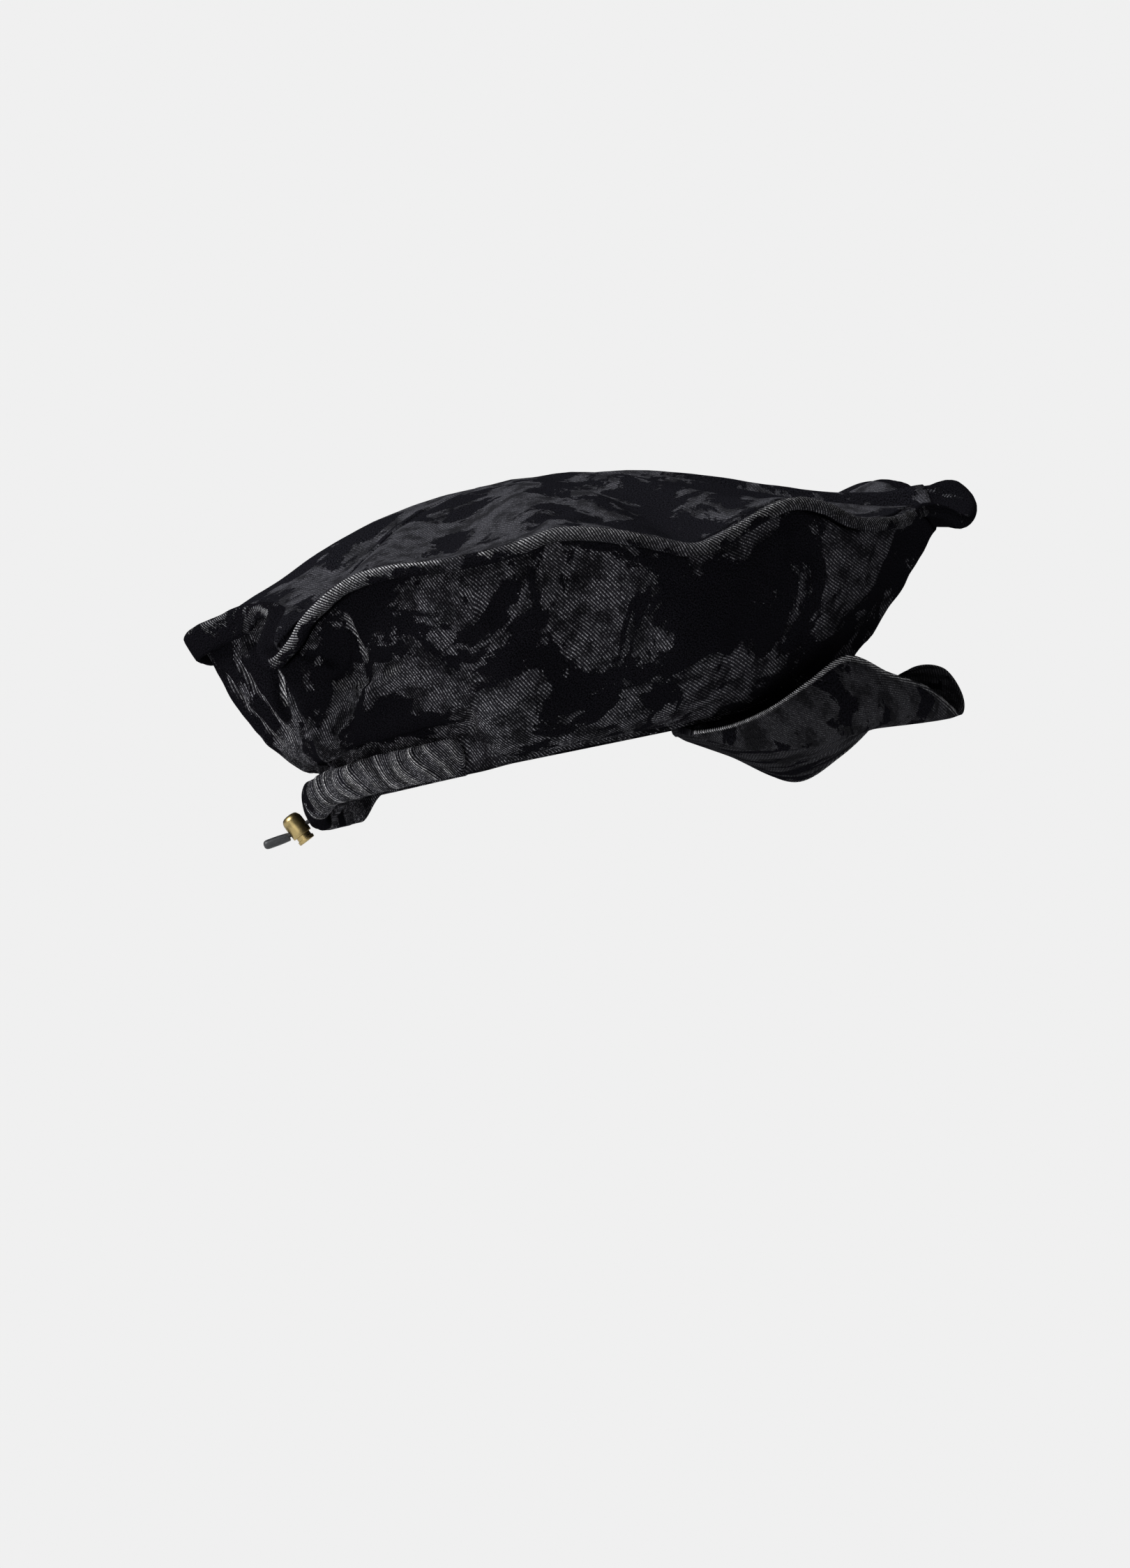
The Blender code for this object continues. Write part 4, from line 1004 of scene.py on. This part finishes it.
def squared(wave):
    """A sine or cosine for a section between a circle and a square."""
    return np.copysign(np.abs(wave) ** (2 / CASING_SQUARENESS), wave)


def tunnel_surface(angle):
    """Rows of points round the gathered tunnel, with the fold and the height of each."""
    turn = np.linspace(-math.pi, math.pi, CASING_SIDES + 1)[:, None]
    across, upright = squared(np.cos(turn)), squared(np.sin(turn))
    bottom, top, depth = casing_at(angle)
    from_end = CASING_END - np.abs(angle)
    depth = depth * (CASING_TAPER + (1 - CASING_TAPER) * ease(from_end / CASING_TAPER_LENGTH))
    round_end = np.clip(from_end / CASING_ROUND, 0.0, 1.0)
    closing = np.sqrt(round_end * (2 - round_end))
    slant = GATHER_SLANT * np.tanh(angle / GATHER_TURN) * np.where(upright > 0, 1.0, GATHER_LOW_SLANT)
    drift = GATHER_DRIFT * np.sin(angle / GATHER_DRIFT_PITCH + GATHER_DRIFT_TURN * turn)
    fold = angle + slant * upright + drift
    out = CLOTH_WALL + SEAM_GAP + depth / 2 * (1 + across * closing)
    out = out + closing * GATHER_DEPTH * gather(fold) * ramp(across, GATHER_OUTER_SPAN)
    height = (top + bottom) / 2 + (top - bottom) / 2 * upright * closing
    return around_opening(180.0 - angle, out, height), fold, upright


def drawcord_casing(finish):
    """The gathered tunnel, with a round eyelet at the middle of the back."""
    angle = np.linspace(-CASING_END, CASING_END, CASING_COLUMNS)
    rows, fold, upright = tunnel_surface(angle)
    flat = np.stack((fold * GATHERED_LENGTH, lengths_along(rows, 0)), axis=2)
    mesh = grid_mesh("gathered_tunnel", rows, flat)
    at_back = gauss(angle, BACK_VELVET_WIDTH)
    # Worn threads and a painted highlight on the ridges of the gathers, kept in the 'wear' attribute
    along, around = WORN_RIDGE_HIGHLIGHT_BEATS
    ridge = WORN_RIDGE_HIGHLIGHT_MEAN + WORN_RIDGE_HIGHLIGHT_SWING * np.sin(along * fold + around * upright)
    ridge = ridge * ramp(gather(fold), WORN_RIDGE_HIGHLIGHT_SPAN)
    set_values(mesh, "wear", (GATHER_WEAR + WORN_RIDGE_HIGHLIGHT * ridge) * (1 - BACK_WEAR_LOSS * at_back))
    set_values(mesh, "bare", np.broadcast_to(-BACK_VELVET * at_back, fold.shape))
    weld(mesh)
    eyelet = ((0.0, 0.0), (EYELET_RADIUS, 0.0), (EYELET_RADIUS, EYELET_LENGTH), (0.0, EYELET_LENGTH))
    cutter = turned("cutter", eyelet, LOCK_HOLE - CORD_WAY * EYELET_START, CORD_WAY)
    mesh = cut(mesh, cutter, CASING_WALL)
    mesh.name = "gathered_tunnel"
    add_piece("gathered_tunnel", mesh, finish, "drawcord_casing")


def tunnel_middle(angle):
    """Middle of the tunnel at angles from the middle of the back."""
    bottom, top, depth = casing_at(angle)
    return around_opening(180.0 - angle, CLOTH_WALL + SEAM_GAP + depth / 2, (bottom + top) / 2)


def strand(name, node, side, finish):
    """One braided strand of the cord: side is -1 for the near one and 1 for the far one."""
    leaving = np.array(STRAND_EXIT) * (1.0, -side, 1.0)
    route = np.concatenate((tunnel_middle(-side * np.array(STRAND_ANGLES)), leaving))
    route = smooth_rows(route, STRAND_STEPS, closed=False)
    covered = lengths_along(route[:, None], 0)[:, 0]
    at = np.linspace(0.0, covered[-1], int(covered[-1] / BRAID_STEP))
    path = np.stack([np.interp(at, covered, route[:, k]) for k in range(3)], axis=1)
    along = unit(np.gradient(path, axis=0))
    sideways = unit(np.cross(along, (0.0, 0.0, 1.0)))
    upward = np.cross(sideways, along)
    turn = np.linspace(0.0, 2 * math.pi, BRAID_SIDES, endpoint=False)
    phase = 2 * math.pi * at[:, None] / BRAID_PITCH
    relief = np.sin(phase + BRAID_THREADS * turn) * np.sin(phase - BRAID_THREADS * turn)
    radius = STRAND_RADIUS * (1 + BRAID_RELIEF * relief)
    radius[[0, -1]] = 0.0
    around = np.cos(turn)[:, None] * sideways[:, None] + np.sin(turn)[:, None] * upward[:, None]
    mesh = grid_mesh(name, path[:, None] + radius[..., None] * around, around=True)
    weld(mesh)
    add_piece(name, mesh, finish, node)


def weld(mesh):
    """Join the points of a mesh that meet, and turn its faces outwards."""
    tidy = bmesh.new()
    tidy.from_mesh(mesh)
    bmesh.ops.remove_doubles(tidy, verts=tidy.verts, dist=WELD)
    bmesh.ops.recalc_face_normals(tidy, faces=tidy.faces)
    tidy.to_mesh(mesh)
    tidy.free()


def cut(mesh, cutter_mesh, wall=0.0):
    """The mesh, made into a wall where one is given, without what the cutter covers."""
    body, cutter = linked("uncut", mesh), linked("cutter", cutter_mesh)
    if wall:
        thicken(body, wall)
    body.modifiers.new("cut", "BOOLEAN").object = cutter
    ready = body.evaluated_get(bpy.context.evaluated_depsgraph_get())
    made = bpy.data.meshes.new_from_object(ready)
    bpy.data.objects.remove(body)
    bpy.data.objects.remove(cutter)
    return made


def turned(name, profile, origin, axis):
    """A smooth turned body along an axis of the hat: radius and height of its profile."""
    radius, height = np.array(profile, float).T[..., None, None]
    turn = np.linspace(0.0, 2 * math.pi, LATHE_STEPS, endpoint=False)[:, None]
    around = np.cos(turn) * np.cross(SIDEWAYS, axis) + np.sin(turn) * SIDEWAYS
    mesh = grid_mesh(name, origin + radius * around + height * axis, around=True)
    weld(mesh)
    return mesh


def slotted(mesh, centre, tall):
    """The mesh with the cord's way cut through it."""
    upright = np.cross(SIDEWAYS, CORD_WAY)
    shape = bmesh.new()
    bmesh.ops.create_cube(shape, size=1.0)
    for corner in shape.verts:
        a, b, c = corner.co
        across = a * tall * upright + b * HOLE_WIDE * SIDEWAYS
        corner.co = placed(centre + across + c * HOLE_LONG * CORD_WAY)
    bmesh.ops.recalc_face_normals(shape, faces=shape.faces)
    cutter_mesh = bpy.data.meshes.new("cutter")
    shape.to_mesh(cutter_mesh)
    shape.free()
    return cut(mesh, cutter_mesh)


def cord_lock(brass, rubber):
    """The lock's hollow barrel, the plunger in it, and the moulded tip on the cord's ends."""
    start = LOCK_HOLE - LOCK_AXIS * HOLE_UP
    dome = [(radius * BARREL_RADIUS, height * BARREL_LENGTH, 0.0) for radius, height in BARREL_DOME]
    profile = [(0.0, BORE_DEPTH), (BORE_RADIUS, BORE_DEPTH), (BORE_RADIUS, 0.0), *BARREL_RIM]
    profile += [tuple(row[:2]) for row in smooth_rows(dome, DOME_STEPS, closed=False)]
    barrel = slotted(turned("brass_barrel", profile, start, LOCK_AXIS), LOCK_HOLE, HOLE_TALL)
    plunger = turned("brass_plunger", PLUNGER_PROFILE, start, LOCK_AXIS)
    plunger = slotted(plunger, LOCK_HOLE - LOCK_AXIS * TRAVEL / 2, HOLE_TALL + TRAVEL)
    for mesh in (barrel, plunger):
        mesh.set_sharp_from_angle(angle=SHARP_ANGLE)
    add_piece("brass_barrel", barrel, brass, "cord_lock_barrel")
    add_piece("brass_plunger", plunger, brass, "cord_lock_plunger", "plunger")
    tip = turned("rubber_tip", TIP_PROFILE, LOCK_HOLE + CORD_WAY * TIP_START, TIP_WAY)
    add_piece("rubber_tip", tip, rubber, "cord_tip")


class Nodes:
    """Short calls for building a material's nodes."""

    def __init__(self, name):
        self.material = bpy.data.materials.new(name)
        self.material.use_nodes = True
        self.tree = self.material.node_tree
        self.shader = self.tree.nodes["Principled BSDF"]

    def add(self, kind, inputs=(), **settings):
        node = self.tree.nodes.new("ShaderNode" + kind)
        for key, value in settings.items():
            setattr(node, key, value)
        for key, value in dict(inputs).items():
            self.put(node.inputs[key], value)
        return node

    def put(self, socket, value):
        if isinstance(value, bpy.types.NodeSocket):
            self.tree.links.new(value, socket)
        else:
            socket.default_value = value

    def math(self, operation, a, b=None, c=None, clamp=False):
        inputs = {key: value for key, value in enumerate((a, b, c)) if value is not None}
        return self.add("Math", inputs, operation=operation, use_clamp=clamp).outputs[0]

    def vector(self, operation, a, b):
        return self.add("VectorMath", {0: a, 1: b}, operation=operation).outputs[0]

    def times(self, made, *others):
        for other in others:
            made = self.math("MULTIPLY", made, other)
        return made

    def between(self, share, ends, clamp=False):
        """The first of two ends where the share is 0, and the second where it is 1."""
        return self.math("MULTIPLY_ADD", share, ends[1] - ends[0], ends[0], clamp)

    def step(self, value, span):
        """0 at the first value of a span and 1 at the second, which may be the lower one."""
        inputs = {"Value": value, "From Min": span[0], "From Max": span[1]}
        return self.add("MapRange", inputs, interpolation_type="SMOOTHSTEP").outputs["Result"]

    def attribute(self, name):
        return self.add("Attribute", attribute_name=name).outputs["Fac"]

    def mix(self, share, a, b):
        """Colour a where the share is 0, and b where it is 1."""
        node = self.add("Mix", {"Factor": share}, data_type="RGBA")
        for socket, value in zip(node.inputs[6:8], (a, b)):
            self.put(socket, (*value, 1.0) if isinstance(value, tuple) else value)
        return node.outputs[2]

    def shades(self, share, colour, shades):
        """A colour times the first of two shades where the share is 0, times the second at 1."""
        return self.mix(share, *(tuple(c * shade for c in colour) for shade in shades))

    def noise(self, vector, scale, detail, roughness, distortion=0.0, output="Fac"):
        inputs = {"Vector": vector, "Scale": scale, "Detail": detail, "Roughness": roughness}
        return self.add("TexNoise", {**inputs, "Distortion": distortion}).outputs[output]

    def speckle(self, vector, settings):
        """Noise with more contrast."""
        return self.between(self.noise(vector, *settings), SPECKLE_ENDS, clamp=True)

    def set(self, **values):
        for key, value in values.items():
            self.put(self.shader.inputs[key.replace("_", " ")], value)


def threads(n, twilled, period):
    """Distance from a ridge's middle, the dash of each thread, and the thread's own strength."""
    split = n.add("SeparateXYZ", {0: twilled})
    line = n.math("DIVIDE", split.outputs["Y"], period)
    place = n.math("FRACT", line)
    number = n.math("FLOOR", line)
    off_middle = n.math("ABSOLUTE", n.math("SUBTRACT", place, 0.5))
    along = n.math("DIVIDE", split.outputs["X"], THREAD_PITCH)
    along = n.math("ADD", along, n.times(number, THREAD_STAGGER))
    along = n.math("ADD", along, n.times(place, THREAD_LEAN))
    off_dash = n.math("ABSOLUTE", n.math("SUBTRACT", n.math("FRACT", along), 0.5))
    stitch = n.add("CombineXYZ", {0: n.math("FLOOR", along), 1: number}).outputs[0]
    chance = n.add("TexWhiteNoise", {"Vector": stitch}, noise_dimensions="2D").outputs["Value"]
    chance = n.between(n.math("POWER", chance, CHANCE_POWER), CHANCE_ENDS)
    return off_middle, n.step(off_dash, DASH_SPAN), chance


def twill(n, flat, parts, worn, thread, ground):
    """Colour of the twill between the blotches, and how strongly its threads stand out."""
    off_middle, dash, chance = parts
    patchy = n.step(n.noise(flat, *PATCH_NOISE), PATCH_SPAN)
    strength = n.times(n.step(off_middle, RIDGE_SPAN), n.between(dash, DASH_ENDS), chance)
    strength = n.math("MULTIPLY", strength, n.between(patchy, PATCHY_THREAD_ENDS), clamp=True)
    # Painted shade: threads dimmed where the side panel's 'fade' attribute is set, towards its front
    strength = n.times(strength, n.math("SUBTRACT", 1.0, n.attribute("fade")))
    weave = n.times(n.speckle(flat, WEAVE_NOISE), n.between(patchy, PATCHY_WEAVE_ENDS))
    colour = n.mix(strength, n.shades(weave, ground, GROUND_SHADES), thread)
    # Pale threads where the 'wear' attribute is set: worn threads, and on the tunnel's gather ridges also
    # a painted highlight
    raised = n.times(n.step(off_middle, RAISED_SPAN), n.between(dash, RAISED_DASH_ENDS))
    rubbed_and_highlight = n.times(worn, n.between(chance, WORN_CHANCE_ENDS))
    rubbed_and_highlight = n.math("MULTIPLY", raised, rubbed_and_highlight, clamp=True)
    return n.mix(rubbed_and_highlight, colour, WORN_THREAD_AND_HIGHLIGHT), strength


def blotches(n, flat, twilled, worn, velvet_share, size, seed):
    """Where velvet flock stands: frayed blotches, fewer where the cloth is worn or bare."""
    place = n.vector("ADD", flat, (seed, seed * SEED_SLOPE, 0.0))
    lost = n.math("MULTIPLY_ADD", worn, WORN_SHIFT, n.times(n.attribute("bare"), BARE_SHIFT))
    blotch = n.math("SUBTRACT", n.noise(place, 1 / size, *BLOTCH_NOISE), lost)
    blotch = n.math("ADD", blotch, n.between(n.noise(twilled, *FRAY_NOISE), FRAY_ENDS))
    middle = FLOCK_MIDDLE + (0.5 - velvet_share) * FLOCK_SPREAD
    return n.step(blotch, (middle - FLOCK_SOFTNESS, middle + FLOCK_SOFTNESS))


def cloth(name, twill_angle, thread, ground, velvet, velvet_share, size, period, seed):
    """Twill with raised velvet blotches. Sizes are in millimetres of the flat cloth."""
    n = Nodes(name)
    flat = n.vector("MULTIPLY", n.add("UVMap", uv_map="cloth").outputs["UV"], (1 / MAP_SCALE,) * 3)
    wander = n.noise(flat, *WANDER_NOISE, output="Color")
    bent = n.vector("ADD", flat, n.vector("MULTIPLY", wander, (TWILL_WANDER, TWILL_WANDER, 0.0)))
    turn = {"Vector": bent, "Angle": math.radians(twill_angle)}
    twilled = n.add("VectorRotate", turn, rotation_type="Z_AXIS").outputs[0]
    # The 'wear' attribute: worn threads, and on the tunnel's gather ridges a painted highlight
    worn = n.attribute("wear")
    bare_colour, strength = twill(n, flat, threads(n, twilled, period), worn, thread, ground)
    flock = blotches(n, flat, twilled, worn, velvet_share, size, seed)
    pile_colour = n.shades(n.speckle(flat, GRAIN_NOISE), velvet, PILE_SHADES)
    pile = n.between(n.noise(flat, *PILE_NOISE), PILE_ENDS)
    height = n.times(strength, n.math("SUBTRACT", 1.0, flock))
    height = n.math("ADD", height, n.times(flock, pile))
    bump = n.add("Bump", {"Height": height, "Strength": BUMP_STRENGTH, "Distance": BUMP_DEPTH})
    n.set(Base_Color=n.mix(flock, bare_colour, pile_colour), Normal=bump.outputs[0])
    n.set(Roughness=n.between(flock, CLOTH_ROUGHNESS_ENDS), Specular_IOR_Level=0.0)
    return n.material


def plain_material(name, colour, roughness, metallic, size):
    """A finish with soft dark patches of about the given size in metres."""
    n = Nodes(name)
    patch = n.noise(n.add("TexCoord").outputs["Object"], 1 / size, *DULL_NOISE)
    n.set(Base_Color=n.shades(n.step(patch, DULL_SPAN), colour, DULL_SHADES), Metallic=metallic)
    n.set(Roughness=n.between(patch, (roughness - DULL_ROUGHNESS, roughness + DULL_ROUGHNESS)))
    return n.material


def camera():
    data = bpy.data.cameras.new("camera")
    data.sensor_width = SENSOR
    data.lens = SENSOR / VIEW_HEIGHT * VIEW_DISTANCE
    data.clip_end = VIEW_REACH
    made = linked("camera", data)
    made.location = (VIEW_MIDDLE[0], -VIEW_DISTANCE, VIEW_MIDDLE[1])
    made.rotation_euler = (math.radians(90.0), 0.0, 0.0)
    bpy.context.scene.camera = made


def area_light(name, place, size, power):
    """A round light that points at the hat."""
    data = bpy.data.lights.new(name, "AREA")
    data.shape = "DISK"
    data.size = size
    data.energy = power
    made = linked(name, data)
    made.location = place
    made.rotation_euler = (LIGHT_AIM - Vector(place)).to_track_quat("-Z", "Y").to_euler()


def surround():
    """A world as pale as the backdrop to the camera, that lights the hat only a little."""
    world = bpy.data.worlds.new("studio")
    bpy.context.scene.world = world
    world.use_nodes = True
    tree = world.node_tree
    shader = tree.nodes["Background"]
    shader.inputs["Color"].default_value = BACKDROP
    seen = tree.nodes.new("ShaderNodeLightPath")
    strength = tree.nodes.new("ShaderNodeMapRange")
    strength.inputs["To Min"].default_value = WORLD_LIGHT
    tree.links.new(seen.outputs["Is Camera Ray"], strength.inputs["Value"])
    tree.links.new(strength.outputs["Result"], shader.inputs["Strength"])


def studio():
    """A pale floor that runs into an equally pale surround, and soft light from the upper left."""
    bpy.context.scene.view_settings.view_transform = "Standard"
    surround()
    place = (0.0, 0.0, FLOOR_HEIGHT)
    bpy.ops.mesh.primitive_circle_add(
        vertices=FLOOR_SIDES, radius=FLOOR_RADIUS, fill_type="NGON", location=place
    )
    floor = bpy.context.object
    floor.name = "floor"
    floor.data.materials.append(floor_material())
    for light in LIGHTS:
        area_light(*light)


def floor_material():
    """Matte near the hat, and glowing as pale as the backdrop away from it."""
    n = Nodes("pale_floor")
    place = n.add("TexCoord").outputs["Object"]
    reach = n.add("VectorMath", {0: place}, operation="LENGTH").outputs["Value"]
    n.set(Base_Color=FLOOR_COLOUR, Roughness=FLOOR_ROUGHNESS)
    glow = n.add("Emission", {"Color": BACKDROP, "Strength": 1.0}).outputs[0]
    share = n.step(reach, FLOOR_GLOW_SPAN)
    mixed = n.add("MixShader", {0: share, 1: n.shader.outputs[0], 2: glow}).outputs[0]
    n.put(n.tree.nodes["Material Output"].inputs["Surface"], mixed)
    return n.material


def main():
    camera()
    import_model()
    studio()
    cloths = {name: cloth(name, *row) for name, row in CLOTHS.items()}
    frames = edge_frames()
    crown_top(frames, cloths["top_cloth"])
    crown_side(frames, cloths["side_cloth"])
    crown_edge(frames, cloths["edge_cloth"])
    brim(cloths["brim_cloth"])
    drawcord_casing(cloths["casing_cloth"])
    brass, cord, rubber = [plain_material(name, *row) for name, row in FINISHES.items()]
    cord_lock(brass, rubber)
    strand("near_strand", "drawcord_near", -1.0, cord)
    strand("far_strand", "drawcord_far", 1.0, cord)


main()
